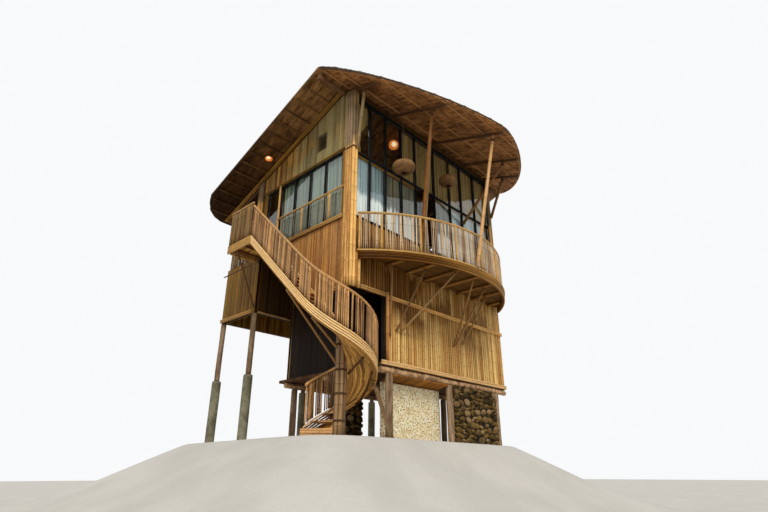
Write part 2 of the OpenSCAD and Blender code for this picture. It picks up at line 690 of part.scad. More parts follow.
// The landing's front edge runs along the first step, which leans with the stair
function land_front(x) = land_y + (x + land_w + 10) * tan(lean) + seat;
module rod_panel(a, b, z, n, h = rail_h) {
    // a straight railing panel from a to b, standing on z
    pole([a[0], a[1], z + h - hand_d / 2], [b[0], b[1], z + h - hand_d / 2], hand_d / 2);
    for (i = [0 : n]) {
        p = a + (b - a) * (i + 0.5) / (n + 1);
        translate([p[0], p[1], z]) cylinder(r = 22, h = h - hand_d / 2, $fn = 8);
    }
}
module landing() color(tan_bamboo) place() {
    x0 = -land_w + 2 * string_r - 8;
    translate([0, 0, floor_h - 60]) linear_extrude(60)
        polygon([[x0, land_front(x0)], [-seat, land_front(-seat)], [-seat, land_end], [x0, land_end]]);
    for (y = [land_y + 170, (land_y + land_end) / 2 + 20, land_end - 120])
        translate([0, 0, floor_h - 60 - 35])
            pole([-land_w + string_r, y, 0], [-seat, y, 0], 40);
    for (i = [0 : land_poles - 1])
        pole([land_out, land_front(land_out + string_r), floor_h - string_r - i * string_drop],
             [land_out, land_end, floor_h - string_r - i * string_drop], string_r);
    // a thin strut from the wing's corner carries the landing's outer poles
    prop([0, lower_d + 30, wing_h + 170], 0, -1,
         [land_out, (land_y + land_end) / 2 + 110, floor_h - 2 * string_r - (land_poles - 1) * string_drop], 2, -1, 28);
}
module landing_rail() color(dark_bamboo) place() {
    z = floor_h + seat;
    rod_panel([land_out, land_y + 60], [land_out, land_end], z, 19);
    rod_panel([land_out + hand_d + 5, land_end - 40], [-30, land_end - 40], z, 15);
    rod_panel([wall_t / 2, room_d + 20], [wall_t / 2, house_d - 20], z, 9);
    rod_panel([130, house_d - 60], [house_w - 130, house_d - 60], z, 38);
    rod_panel([house_w - wall_t / 2, room_d + 20], [house_w - wall_t / 2, house_d - 20], z, 9);
}

// Line of the stair's outer edge, stepped down from the landing: [height, x, y, heading, length]
line_step = 30;
function slope_at(s) =
    steep + (gentle - steep) * min(1, max(0, (s - run_l + 200) / (bend_l + 400)));
function bend_at(s) = 180 / PI / turn_r * min(1, max(0, (s - run_l) / bend_l));
function next(p) = let (a = p[3] + bend_at(p[4]) * line_step)
    [p[0] - slope_at(p[4]) * line_step, p[1] + cos(a) * line_step, p[2] + sin(a) * line_step, a,
     p[4] + line_step];
line_end = 20;
line = [for (p = [floor_h, -land_w - 10, land_y, lean - 90, 0]; p[0] > line_end; p = next(p)) p];
line_x = [for (p = line) [p[0], p[1]]];
line_y = [for (p = line) [p[0], p[2]]];
line_a = [for (p = line) [p[0], p[3]]];
line_s = [for (p = line) [p[0], p[4]]];
line_z = [for (p = line) [p[4], p[0]]];
function edge(z) = [lookup(z, line_x), lookup(z, line_y)];
function inward(z) = let (a = lookup(z, line_a)) [-sin(a), cos(a)];
function slope(z) = slope_at(lookup(z, line_s));
function inset(z, d) = edge(z) + d * inward(z);
rise = floor_h / risers;
// The stair's pieces share rows of points at these heights, three to a step
function grid(k) = floor_h - k * rise / 3;
stair_rows = floor((floor_h - stair_t + 30) / (rise / 3));
stair_end = grid(stair_rows);
turn_z = lookup(run_l + bend_l, line_z);
post_c = edge(turn_z) + turn_r * inward(turn_z);
post_r = 3 * post_culm - 2;
function width(z) = min(stair_w, norm(edge(z) - post_c) - post_r - seat);
inner_t = 50;
inner_rows = floor((floor_h - turn_z - 250) / (rise / 3));
// Room that the inner string takes off the width
function inner_take(z) = z > grid(inner_rows) - 1 ? inner_t + seat : 0;
// The poles of the string have eight sides, with flats above, below and at the sides
pole_flat = cos(22.5);
string_in = string_r * (1 + pole_flat) + seat;
function tall(z, r) = r * sqrt(1 + pow(slope(z), 2));
function string_h(z, i) = -pole_flat * tall(z, string_r) - i * string_drop;
function string_low(z) = string_h(z, 3) - pole_flat * tall(z, string_r);

// Skin over a row of rings, each a closed loop of the same number of points
module skin(rings) {
    n = len(rings[0]);
    m = len(rings);
    polyhedron(
        points = [for (r = rings) for (p = r) p],
        faces = concat(
            [[for (j = [0 : n - 1]) j]],
            [for (i = [0 : m - 2]) for (j = [0 : n - 1]) let (k = (j + 1) % n)
                [i * n + j, (i + 1) * n + k, i * n + k]],
            [for (i = [0 : m - 2]) for (j = [0 : n - 1]) let (k = (j + 1) % n)
                [i * n + j, (i + 1) * n + j, (i + 1) * n + k]],
            [[for (j = [n - 1 : -1 : 0]) (m - 1) * n + j]]),
        convexity = 8);
}
function rows(n) = [for (k = [0 : n]) grid(k)];
// Round pole along the stair: d inside the edge, h above the nosing line
function pole_ring(z, d, h, r) = let (n = inward(z), p = edge(z), v = tall(z, r))
    [for (i = [0 : 7]) let (t = 45 * (i + 0.5))
        [p[0] + (d + r * cos(t)) * n[0], p[1] + (d + r * cos(t)) * n[1], z + h + v * sin(t)]];
// Flat band along the stair from d0 to d1 inside the edge, h0 to h1 above the nosing line
function band_ring(z, d0, d1, h0, h1) = let (a = inset(z, d0), b = inset(z, d1))
    [[a[0], a[1], z + h0], [b[0], b[1], z + h0], [b[0], b[1], z + h1], [a[0], a[1], z + h1]];

module stair_strings() color(tan_bamboo) place() {
    for (i = [0 : 3])
        skin([for (z = rows(stair_rows)) pole_ring(z, string_r, string_h(z, i), string_r)]);
    skin([for (z = rows(inner_rows))
        band_ring(z, width(z) - inner_t, width(z), string_low(z) + 5, -10)]);
}
function tread_points(z0, z1, d0) = let (zs = [for (i = [0:3]) z0 + (z1 - z0) * i / 3])
    concat([for (z = zs) inset(z, d0)],
           [for (i = [3 : -1 : 0]) inset(zs[i], width(zs[i]) - inner_take(zs[i]))]);
// Treads between the strings, and a bottom step on the ground in front of them
module stair_treads() color(dark_bamboo) place() {
    for (i = [1 : risers - 2]) {
        z = floor_h - i * rise;
        translate([0, 0, z - tread_t]) linear_extrude(tread_t) polygon(tread_points(z + rise, z, string_in));
    }
    linear_extrude(rise) polygon(tread_points(stair_end - seat, rise, 0));
}
// The soffit is divided across its width, so that its turn stays smooth
soffit_t = 18;
soffit_ribs = 4;
function sheet_ring(z, d0, d1, h0, h1) = let (a = inset(z, d0), b = inset(z, d1), n = soffit_ribs)
    concat([for (i = [0 : n]) let (p = a + (b - a) * i / n) [p[0], p[1], z + h0]],
           [for (i = [n : -1 : 0]) let (p = a + (b - a) * i / n) [p[0], p[1], z + h1]]);
module stair_soffit() color(dark_bamboo) place()
    skin([for (z = rows(stair_rows))
        let (top = string_low(z) - seat - 5 * bend_at(lookup(z, line_s)) / bend_at(20000))
            sheet_ring(z, string_r / 2, width(z), top - soffit_t, top)]);
module stair_handrail() color(tan_bamboo) place()
    skin([for (z = rows(stair_rows)) pole_ring(z, string_r, stair_rail_h, hand_d / 2)]);
stair_rod = 18;
module stair_balusters() color(dark_bamboo) place() {
    total = lookup(stair_end, line_s) - 60;
    n = floor(total / stair_step);
    for (i = [1 : n]) {
        z = lookup(i * total / n, line_z);
        p = inset(z, string_r);
        lift = stair_rod * slope(z) + seat;
        rail = stair_rail_h - pole_flat * tall(z, hand_d / 2);
        translate([p[0], p[1], z + lift]) rotate(lookup(z, line_a))
            cylinder(r = stair_rod, h = rail - 2 * lift, $fn = 8);
    }
}
module stair_post() color(dark_bamboo) place() {
    translate([post_c[0], post_c[1], 0]) {
        cylinder(r = post_culm, h = turn_z);
        for (a = [0:60:300])
            rotate(a) translate([post_r - post_culm, 0, 0]) cylinder(r = post_culm, h = turn_z - 40 - a / 3);
    }
    // raking props from the post to the outer string
    for (p = stair_prop_list) {
        top = inset(p[0], string_r + 30);
        pole([post_c[0], post_c[1], p[1]],
             [top[0], top[1], p[0] + string_low(p[0]) - soffit_t - 44 * slope(p[0]) - 4], 30);
    }
    // two poles lean side by side under the outer string at the front of the turn
    p = inset(lean_z, string_r + 60);
    top = [p[0], p[1], lean_z + string_low(lean_z) - soffit_t - 36 * slope(lean_z) - 6.7];
    beside = (66 + seat) / sqrt(1 - pow(unit(top - lean_foot)[0], 2));
    for (i = [0:1]) {
        shift = [i * beside, 0, 0];
        prop(lean_foot + shift, 2, 1, lean_foot + (top - lean_foot) * (1 - 0.06 * i) + shift, 2, -1, 33);
    }
}
lean_z = 1530;
lean_foot = [1290, -150, -seat];
stair_prop_list = [[3850, 1500], [2950, 1900]];

// Ground posts: where each kind stands
trunk_x = [lower_x + trunk_in, lower_x + trunk_in + trunk_bay, house_w - trunk_end];
trunk_y = [trunk_front, trunk_mid, lower_d - trunk_back];
trunk_at = [for (y = trunk_y) for (x = trunk_x) [x, y]];
log_z = lower_h - lower_floor_t - seat - log_r;
wing_post_at = [[60, lower_d + 60], [60, house_d - 60], [3400, house_d - 60],
                [house_w - 60, house_d - 60], [house_w - 60, lower_d + 60 + wall_t]];
module trunk_posts() color(trunk_col) place() {
    for (p = trunk_at) translate([p[0], p[1], 0]) cylinder(r = trunk_r, h = log_z - log_r - seat);
    for (p = wing_post_at) translate([p[0], p[1], sleeve_h + seat])
        cylinder(r = trunk_r - 15, h = wing_h - sleeve_h - 2 * seat);
}
module concrete_footings() color("silver") place()
    for (p = wing_post_at) translate([p[0], p[1], 0]) cylinder(r = sleeve_r, h = sleeve_h);
module log_beams() color(trunk_col) place() for (y = trunk_y)
    pole([lower_x - 240, y, log_z], [house_w - 20, y, log_z], log_r);
base_top = log_z - log_r - seat;
plaster_x0 = trunk_x[0] + trunk_r + seat;
plaster_x1 = trunk_x[1] - trunk_r - seat;
soffit_run = 330;
soffit_drop = 150;
module plaster_panel() color("gainsboro") place()
    block([plaster_x0, soffit_run, 0], [plaster_x1, soffit_run + plaster_t, base_top - soffit_drop]);
module slat_soffit() color(dark_bamboo) place() along_x(plaster_x0, plaster_x1 - plaster_x0)
    polygon([[0, base_top], [0, base_top - 30], [soffit_run + plaster_t, base_top - soffit_drop - 30 + seat + 30],
             [soffit_run + plaster_t, base_top - soffit_drop + 30 + seat], [40, base_top]]);
module stone_walls() color("tan") place() {
    block([trunk_x[1] + trunk_r + seat, -90, 0], [trunk_x[2] - trunk_r - seat, -90 + stone_t, base_top]);
    y1 = trunk_at[3][1] - trunk_r - seat;
    block([lower_x - 220, y1 - stone_t, 0], [plaster_x0 + 680, y1, base_top - 380]);
}

trunk_posts();
concrete_footings();
log_beams();
plaster_panel();
stone_walls();
slat_soffit();
lower_floor();
lower_front_wall();
lower_side_wall();
lower_right_wall();
lower_back_wall();
trim_poles();
front_band_wall();
left_skirt_wall();
wing_skirt();
upper_floor();
side_piers();
left_gable();
right_gable();
gable_vents();
window_frames();
window_glass();
window_rail();
culm_posts();
glass_wall_frame();
glass_wall_panes();
back_wall();
roof_front();
roof_back();
ridge_beam();
rafters();
roof_battens();
roof_struts();
balcony_deck();
balcony_edge();
balcony_joists();
balcony_handrail();
balcony_balusters();
balcony_props();
landing();
landing_rail();
stair_treads();
stair_strings();
stair_soffit();
stair_handrail();
stair_balusters();
stair_post();
curtains();
lamps();
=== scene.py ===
# Looks for the bamboo stilt house, laid out as an add-on and run as a script.
# House places are in metres from the near front corner, X along the glass front and Y to the back.
import math
import random
from functools import cache

import bpy
import numpy as np
from bpy.props import FloatProperty, FloatVectorProperty, PointerProperty
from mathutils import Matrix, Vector, noise


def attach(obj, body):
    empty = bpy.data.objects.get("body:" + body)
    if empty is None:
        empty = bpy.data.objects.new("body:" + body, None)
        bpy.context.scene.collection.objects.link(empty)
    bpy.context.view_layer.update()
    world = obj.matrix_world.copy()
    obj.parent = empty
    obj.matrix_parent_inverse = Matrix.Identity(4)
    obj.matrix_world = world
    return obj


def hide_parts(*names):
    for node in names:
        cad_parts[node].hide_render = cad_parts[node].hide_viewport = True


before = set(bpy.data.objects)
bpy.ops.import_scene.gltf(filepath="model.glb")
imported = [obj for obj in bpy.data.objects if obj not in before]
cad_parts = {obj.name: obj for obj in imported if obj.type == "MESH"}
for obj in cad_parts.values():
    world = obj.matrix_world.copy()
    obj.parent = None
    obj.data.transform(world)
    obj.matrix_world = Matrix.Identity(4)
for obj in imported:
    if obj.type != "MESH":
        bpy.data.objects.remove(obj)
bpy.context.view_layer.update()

bl_info = {
    "name": "Bamboo stilt house",
    "version": (1, 0, 0),
    "blender": (4, 5, 0),
    "location": "View3D > Sidebar > House",
    "description": "Dresses the stilt house with bamboo, cloth, glass and stone",
    "category": "Object",
}

# The near front corner of the house lies at minus this place in the frame
HOUSE_X, HOUSE_Y = 3.75, 2.01
HOUSE = np.array([HOUSE_X, HOUSE_Y, 0.0])
SEAT = 0.0003
GLOSS = 0.12
PROUD = 0.016
ROPE = 0.013

# Levels and sizes of the house, as its solids have them
DECK, FLOOR, LOWER, SKIRT = 4.5, 5.5, 1.8, 3.55
HEAD, TRANSOM, RIDGE = 7.66, 7.5, 9.85
WIDE, ROOM, DEEP, WALL = 6.9, 4.65, 6.05, 0.12
LOWER_X, LOWER_D, LOW_Z, WING = 1.35, 4.2, 5.44, 3.68
ROOM_TOP = FLOOR - 0.11 - SEAT
RIDGE_Y, BACK_TAN, FRONT_TAN = 0.42, math.tan(math.radians(20.5)), math.tan(math.radians(19))
BACK_COS, FRONT_COS = math.cos(math.radians(20.5)), math.cos(math.radians(19))
EAVE_MID, EAVE_A, EAVE_B, EAVE_POW = 3.75, 4.85, 3.1, 1.45
EAVE_BACK, EAVE_ROUND = 6.7, 1.1
BATTEN, BATTEN_FIRST, BATTEN_STEP = 0.05, 0.15, 0.44
BATTEN_DEPTH = BATTEN + 2 * SEAT
RAFTER_DEPTH = BATTEN_DEPTH + 0.09 + SEAT
WALL_TOP = RAFTER_DEPTH + SEAT
RAFTERS = [0.06, 1.73, 3.71, 5.53, 6.84]
BAL_X, BAL_R = 3.45, (3.43 ** 2 + 1.62 ** 2) / (2 * 1.62)
BAL_CY, RAIL_R = BAL_R - 1.62, BAL_R - 0.09
CULM, TRIM, STRING = 0.045, 0.032, 0.034
PAIR_OUT, STRING_PITCH = 2 * CULM + SEAT, 1.86 * STRING
DECK_LOW = DECK - 0.06 - SEAT
LAND_W, LAND_Y, LAND_END = 1.09, 3.03, 4.25
RISE = FLOOR / 28
# The stair's lean in degrees, its step along the line, and the flats of its eight-sided poles
LEAN, STAIR_STEP, OCTAGON = 5.7, 0.03, 0.924


def shade(r, g, b):
    """A screen colour of 0 to 255 as a linear colour."""
    line = []
    for c in (r, g, b):
        c = c / 255
        line.append(c / 12.92 if c <= 0.04045 else ((c + 0.055) / 1.055) ** 2.4)
    return (*line, 1.0)


# Settings that a user would change

COLOUR = {"subtype": "COLOR", "size": 4, "min": 0.0, "max": 1.0}


class PoleLooks(bpy.types.PropertyGroup):
    internode: FloatProperty(
        name="Internode", description="Distance between the nodes of a thick culm",
        default=0.4, min=0.1, max=1.0, unit="LENGTH")
    bow: FloatProperty(
        name="Bow", description="How far a pole of one metre may bow", default=0.004,
        min=0.0, max=0.02, unit="LENGTH")
    light: FloatVectorProperty(
        name="Light culm", description="Colour of fresh bamboo", **COLOUR, default=shade(218, 172, 98))
    dark: FloatVectorProperty(
        name="Dark culm", description="Colour of aged bamboo", **COLOUR, default=shade(150, 98, 46))
    corner: FloatVectorProperty(
        name="Corner culms", description="Colour of the thick culms at the corners", **COLOUR,
        default=shade(255, 204, 122))


class SlatLooks(bpy.types.PropertyGroup):
    width: FloatProperty(
        name="Slat width", description="Usual width of a split bamboo slat", default=0.047,
        min=0.02, max=0.2, unit="LENGTH")
    gap: FloatProperty(
        name="Slat gap", description="Gap between two slats", default=0.009,
        min=0.0, max=0.03, unit="LENGTH")
    thick: FloatProperty(
        name="Slat thickness", description="Thickness of a split bamboo slat", default=0.016,
        min=0.004, max=0.03, unit="LENGTH")
    front: FloatVectorProperty(
        name="Front slats", description="Colour of the slats under the glass front",
        **COLOUR, default=shade(255, 220, 142))
    side: FloatVectorProperty(
        name="Side slats", description="Colour of the weathered slats on the left side",
        **COLOUR, default=shade(232, 166, 90))


class BaseLooks(bpy.types.PropertyGroup):
    stone: FloatProperty(
        name="Cobble size", description="Usual width of a cobble", default=0.25,
        min=0.08, max=0.5, unit="LENGTH")
    cobble: FloatVectorProperty(
        name="Cobbles", description="Colour of the cobbles", **COLOUR, default=shade(120, 94, 48))
    plaster: FloatVectorProperty(
        name="Plaster", description="Colour of the rough plaster", **COLOUR, default=shade(255, 246, 214))


class StageLooks(bpy.types.PropertyGroup):
    sky: FloatProperty(
        name="Sky strength", description="Strength of the soft light from all round",
        default=0.62, min=0.0, max=3.0)
    sun: FloatProperty(
        name="Key strength", description="Strength of the soft key light",
        default=2.1, min=0.0, max=10.0)
    floor: FloatVectorProperty(
        name="Floor", description="Colour of the pale floor", **COLOUR, default=shade(200, 198, 193))


# Shapes that are modelled once and copied

class Form:
    """A modelled shape, kept as points and faces, ready to be copied."""

    def __init__(self, obj):
        mesh = obj.data
        self.points = np.array([v.co[:] for v in mesh.vertices])
        kinds = {}
        for face in mesh.polygons:
            key = (len(face.vertices), face.use_smooth)
            kinds.setdefault(key, []).append(tuple(face.vertices))
        self.faces = {key: np.array(rows) for key, rows in kinds.items()}
        fans = [(rows[:, 0], rows[:, i], rows[:, i + 1]) for rows in self.faces.values()
                for i in range(1, rows.shape[1] - 1)]
        self.fan = [np.concatenate(column) for column in zip(*fans)]
        bpy.data.objects.remove(obj)
        bpy.data.meshes.remove(mesh)

    def inverted(self, points):
        """Whether a copy with these points has its faces inward."""
        q = points - points.mean(0)
        a, b, c = (q[i] for i in self.fan)
        return float(np.einsum("ij,ij->", a, np.cross(b, c))) < 0


def mode(name):
    bpy.ops.object.mode_set(mode=name)


def select_mesh():
    bpy.ops.mesh.select_all(action="SELECT")


def clear():
    """Object mode with nothing selected."""
    active = bpy.context.view_layer.objects.active
    if active is not None and active.mode != "OBJECT":
        mode("OBJECT")
    bpy.ops.object.select_all(action="DESELECT")


def pick(obj, test):
    """In edit mode, selects the points that pass a test of their place."""
    mode("OBJECT")
    for v in obj.data.vertices:
        v.select = bool(test(v.co))
    for e in obj.data.edges:
        e.select = all(obj.data.vertices[i].select for i in e.vertices)
    for f in obj.data.polygons:
        f.select = all(obj.data.vertices[i].select for i in f.vertices)
    mode("EDIT")


def smooth(obj, test=lambda face: True):
    """Back in object mode, smooths the faces that pass a test."""
    mode("OBJECT")
    for face in obj.data.polygons:
        face.use_smooth = test(face)


def start(operator, place, **values):
    """Adds a primitive with its place applied, and goes into edit mode."""
    clear()
    operator(location=place, **values)
    bpy.ops.object.transform_apply(location=True, rotation=True, scale=True)
    mode("EDIT")
    return bpy.context.object


def slice_up(places, axis=2):
    """In edit mode, cuts the whole mesh across an axis at some places."""
    normal = [float(i == axis) for i in range(3)]
    for place in places:
        select_mesh()
        bpy.ops.mesh.bisect(plane_co=[place * n for n in normal], plane_no=normal)


@cache
def culm(count, sides):
    """A bamboo culm of some internodes: radius 1, one internode to each unit of height."""
    obj = start(bpy.ops.mesh.primitive_cylinder_add, (0, 0, 0.5), vertices=sides, radius=1, depth=1,
                end_fill_type="NOTHING")
    slice_up((0.455, 0.5, 0.53))
    pick(obj, lambda p: abs(p.z - 0.5) < 0.01)
    bpy.ops.transform.resize(value=(1.09, 1.09, 1))
    pick(obj, lambda p: p.z < 0.01 or p.z > 0.99)
    bpy.ops.transform.resize(value=(0.975, 0.975, 1))
    mode("OBJECT")
    if count > 1:
        more = obj.modifiers.new("more", "ARRAY")
        more.count = count
        more.use_relative_offset = False
        more.use_constant_offset = True
        more.constant_offset_displace = (0, 0, 1)
        more.use_merge_vertices = True
        more.merge_threshold = 0.001
        bpy.ops.object.modifier_apply(modifier="more")
    mode("EDIT")
    for end in (0, count):
        pick(obj, lambda p: abs(p.z - end) < 0.01)
        bpy.ops.mesh.edge_face_add()
    select_mesh()
    bpy.ops.mesh.normals_make_consistent(inside=False)
    smooth(obj, lambda face: abs(face.normal.z) < 0.9)
    return Form(obj)


@cache
def slab(cuts, crowned):
    """A length of wood: x is its width, y its thickness from the outer face at 0, z its length."""
    obj = start(bpy.ops.mesh.primitive_cube_add, (0, 0.5, 0.5), size=1)
    slice_up([(i + 1) / (cuts + 1) for i in range(cuts)])
    mode("OBJECT")
    for e in obj.data.edges:
        a, b = (obj.data.vertices[i].co for i in e.vertices)
        e.select = abs(a.z - b.z) > 0.01 and not (crowned and a.y > 0.01)
    for f in obj.data.polygons:
        f.select = False
    bpy.context.tool_settings.mesh_select_mode = (False, True, False)
    mode("EDIT")
    bpy.ops.mesh.bevel(offset=0.3 if crowned else 0.06, segments=2 if crowned else 1)
    mode("OBJECT")
    bpy.context.tool_settings.mesh_select_mode = (True, False, False)
    return Form(obj)


def strip(cuts=0):
    """A split slat with a crowned face."""
    return slab(cuts, True)


def board(cuts=0):
    """A board with eased edges."""
    return slab(cuts, False)


@cache
def half_culm():
    """A half culm, open side down: x and y are its section of radius 1, z its length."""
    obj = start(bpy.ops.mesh.primitive_cylinder_add, (0, 0, 0.5), vertices=12, radius=1, depth=1)
    select_mesh()
    bpy.ops.mesh.bisect(plane_co=(0, 0, 0), plane_no=(0, 1, 0), clear_inner=True, use_fill=True)
    smooth(obj, lambda face: abs(face.normal.z) < 0.9 and face.normal.y >= -0.9)
    return Form(obj)


@cache
def cobble(kind):
    """One of four rounded stones of radius 1."""
    obj = start(bpy.ops.mesh.primitive_ico_sphere_add, (0, 0, 0), subdivisions=2, radius=1)
    select_mesh()
    bpy.ops.transform.vertex_random(offset=0.24, seed=kind * 7 + 1)
    bpy.ops.mesh.vertices_smooth(factor=0.35)
    smooth(obj)
    return Form(obj)


@cache
def log_form():
    """A plain log of radius 1 and length 1, ready to be roughened."""
    rings = 24
    obj = start(bpy.ops.mesh.primitive_cylinder_add, (0, 0, 0.5), vertices=16, radius=1, depth=1)
    slice_up([(i + 1) / rings for i in range(rings - 1)])
    pick(obj, lambda p: p.z < 0.001 or p.z > 0.999)
    bpy.ops.transform.resize(value=(0.96, 0.96, 1))
    smooth(obj, lambda face: abs(face.normal.z) < 0.9)
    return Form(obj)


@cache
def tie_form():
    """One turn of a rope binding round a pole of radius 1."""
    obj = start(bpy.ops.mesh.primitive_torus_add, (0, 0, 0), major_segments=12, minor_segments=5,
                major_radius=1.04, minor_radius=0.1)
    select_mesh()
    bpy.ops.transform.resize(value=(1, 1, 1.15))
    smooth(obj)
    return Form(obj)


class Batch:
    """Copies of forms that make up one piece."""

    def __init__(self):
        self.points = []
        self.tone = []
        self.joint = []
        self.local = []
        self.faces = []
        self.count = 0

    def add(self, form, points, local, joint, tone, slot=0):
        """Adds a copy. Its points and local places are rows, or a tuple of x, y and z."""
        points, local = (np.stack(np.broadcast_arrays(*rows), 1) if isinstance(rows, tuple) else rows
                         for rows in (points, local))
        n = len(points)
        self.points.append(points)
        self.local.append(local)
        self.joint.append(np.broadcast_to(joint, (n,)))
        self.tone.append(np.full(n, tone))
        turn = -1 if form.inverted(points) else 1
        for (_, smooth), rows in form.faces.items():
            self.faces.append((rows[:, ::turn] + self.count, smooth, slot))
        self.count += n

    def make(self, name, finishes, slot, *nodes):
        """Makes the piece at the origin, its place in its mesh, and hands it to the frame."""
        points = np.concatenate(self.points) - HOUSE
        faces, smooth, slots = [], [], []
        for rows, flag, s in self.faces:
            faces.extend(rows.tolist())
            smooth.extend([flag] * len(rows))
            slots.extend([s] * len(rows))
        mesh = bpy.data.meshes.new(name)
        mesh.from_pydata(points.tolist(), [], faces)
        mesh.polygons.foreach_set("use_smooth", smooth)
        obj = bpy.data.objects.new(name, mesh)
        bpy.context.scene.collection.objects.link(obj)
        hand_over(obj, name, finishes, slot, *nodes)
        mesh.polygons.foreach_set("material_index", slots)
        for key, kind, rows in (("tone", "FLOAT", self.tone), ("joint", "FLOAT", self.joint)):
            mesh.attributes.new(key, kind, "POINT").data.foreach_set(
                "value", np.concatenate(rows).astype(np.float32))
        mesh.attributes.new("local", "FLOAT_VECTOR", "POINT").data.foreach_set(
            "vector", np.concatenate(self.local).astype(np.float32).ravel())
        mesh.update()


def unit(v):
    return v / np.maximum(np.linalg.norm(v, axis=-1, keepdims=True), 1e-9)


def sweep(batch, form, path, radius, rng, high=1.0, spin=None, taper=0.0, tone=None, slot=0):
    """Bends a culm form along a path of points, with a second radius for its height."""
    path = np.asarray(path, float)
    steps = np.linalg.norm(np.diff(path, axis=0), axis=1)
    run = np.concatenate([[0], np.cumsum(steps)])
    p = form.points
    top = p[:, 2].max()
    t = p[:, 2] / top
    at = t * run[-1]
    centre = np.stack([np.interp(at, run, path[:, i]) for i in range(3)], 1)
    slope = unit(np.gradient(path, run, axis=0)) if len(path) > 2 else unit(np.diff(path, axis=0))
    if len(path) > 2:
        tangent = unit(np.stack([np.interp(at, run, slope[:, i]) for i in range(3)], 1))
    else:
        tangent = np.repeat(slope, len(p), axis=0)
    up = (1.0, 0.0, 0.0) if np.abs(tangent[:, 2]).mean() > 0.9 else (0.0, 0.0, 1.0)
    side = unit(np.cross(tangent, up))
    over = unit(np.cross(side, tangent))
    spin = rng.uniform(0, math.tau) if spin is None else spin
    x = p[:, 0] * math.cos(spin) - p[:, 1] * math.sin(spin)
    y = p[:, 0] * math.sin(spin) + p[:, 1] * math.cos(spin)
    r = radius * (1 - taper * t)
    points = centre + side * (x * r)[:, None] + over * (y * r * high)[:, None]
    local = (x * r, y * r, at + rng.uniform(0, 50))
    batch.add(form, points, local, p[:, 2] + rng.randrange(50), rng.random() if tone is None else tone, slot)


def pole(batch, a, b, radius, rng, sides=8, bow=None, internode=None, **more):
    """A bamboo pole between two points, a little bowed, with its own node spacing."""
    looks = bpy.context.scene.pole_looks
    a, b = np.array(a, float), np.array(b, float)
    length = float(np.linalg.norm(b - a))
    step = (internode or looks.internode) * rng.uniform(0.8, 1.25)
    form = culm(max(1, round(length / step)), sides)
    amount = (looks.bow if bow is None else bow) * length * rng.uniform(-1, 1)
    away = unit(np.cross(b - a, np.array([rng.uniform(-1, 1), rng.uniform(-1, 1), rng.uniform(-1, 1)])))
    if abs(amount) < 0.0005:
        path = [a, b]
    else:
        path = [a + (b - a) * t + away * amount * math.sin(math.pi * t) for t in np.linspace(0, 1, 9)]
    sweep(batch, form, path, radius, rng, **more)


def spread(start, end, width, rng, breaks=(), vary=0.3):
    """Edges of a row of slats with uneven widths, which also break at the given places."""
    edges = [start]
    stops = sorted([b for b in breaks if start < b < end]) + [end]
    for stop in stops:
        length = stop - edges[-1]
        n = max(1, round(length / width))
        parts = np.array([1 + rng.uniform(-vary, vary) for _ in range(n)])
        base = edges[-1]
        edges.extend((base + np.cumsum(parts / parts.sum()) * length).tolist())
    return edges


def level(value):
    """A height that is the same all along a wall."""
    return lambda u: np.full_like(u, value)


def panel(batch, place, start, end, low, high, depth, thick, rng, width=None, holes=(), form=None,
          gap=None, ragged=0.0, slot=0, vary=0.3, breaks=()):
    """A row of upright slats. place(u, d, z) gives a point from its distance along, in and up."""
    looks = bpy.context.scene.slat_looks
    gap = looks.gap if gap is None else gap
    form = form or strip()
    stops = [h[i] for h in holes for i in (0, 1)] + list(breaks)
    edges = spread(start, end, width or looks.width, rng, stops, vary)
    for a, b in zip(edges, edges[1:]):
        mid = (a + b) / 2
        cuts = sorted((h[2], h[3]) for h in holes if h[0] - 1e-6 < mid < h[1] + 1e-6)
        ends = [None] + [z for pair in cuts for z in pair] + [None]
        look = rng.random()
        shift = rng.uniform(0, 50)
        for z0, z1 in zip(ends[::2], ends[1::2]):
            p = form.points
            take = gap * rng.uniform(0.5, 1.5)
            u = mid + p[:, 0] * max(b - a - take, 0.6 * (b - a))
            zl = low(u) if z0 is None else np.full_like(u, z0)
            zh = high(u) if z1 is None else np.full_like(u, z1)
            if ragged:
                zl = zl + rng.uniform(0, ragged)
                zh = zh - rng.uniform(0, ragged)
            if float((zh - zl).max()) < 0.004:
                continue
            z = zl + p[:, 2] * (zh - zl)
            d = depth + p[:, 1] * thick + rng.uniform(0, 0.002)
            local = (u - mid, p[:, 1] * thick, z + shift)
            batch.add(form, place(u, d, z), local, z / 0.36 + shift, look, slot)


def along_x(y, inward=1):
    """A wall that runs along X with its outer face at y."""
    return lambda u, d, z: (u, y + inward * d, z)


def along_y(x, inward=1):
    """A wall that runs along Y with its outer face at x."""
    return lambda u, d, z: (x + inward * d, u, z)


def wall(batch, place, start, end, low, high, rng, holes=(), width=None, breaks=(), gap=None):
    """A wall of split slats on both faces, over a dark core whose near-black colour is painted shade in the
    gaps. Its foot and head may follow a line.
    """
    low, high = (line if callable(line) else level(line) for line in (low, high))
    t = bpy.context.scene.slat_looks.thick
    inner = lambda u, d, z: place(u, WALL - d, z)
    for face in (place, inner):
        panel(batch, face, start, end, low, high, 0.0, t, rng, holes=holes, ragged=0.004, width=width,
              breaks=breaks, gap=gap)
    panel(batch, place, start, end, lambda u: low(u) + 0.008, lambda u: high(u) - 0.008, t + 0.001,
          WALL - 2 * t - 0.002, rng, holes=holes, width=0.5, gap=0.0, form=board(), slot=1, vary=0,
          breaks=breaks)


# Roof and stair lines, as the solids have them

def roof_z(y):
    y = np.asarray(y, float)
    return RIDGE - np.where(y > RIDGE_Y, (y - RIDGE_Y) * BACK_TAN, (RIDGE_Y - y) * FRONT_TAN)


def under(y, d):
    """Height of a layer at a depth under the roof sheet."""
    return roof_z(y) - d / np.where(np.asarray(y) > RIDGE_Y, BACK_COS, FRONT_COS)


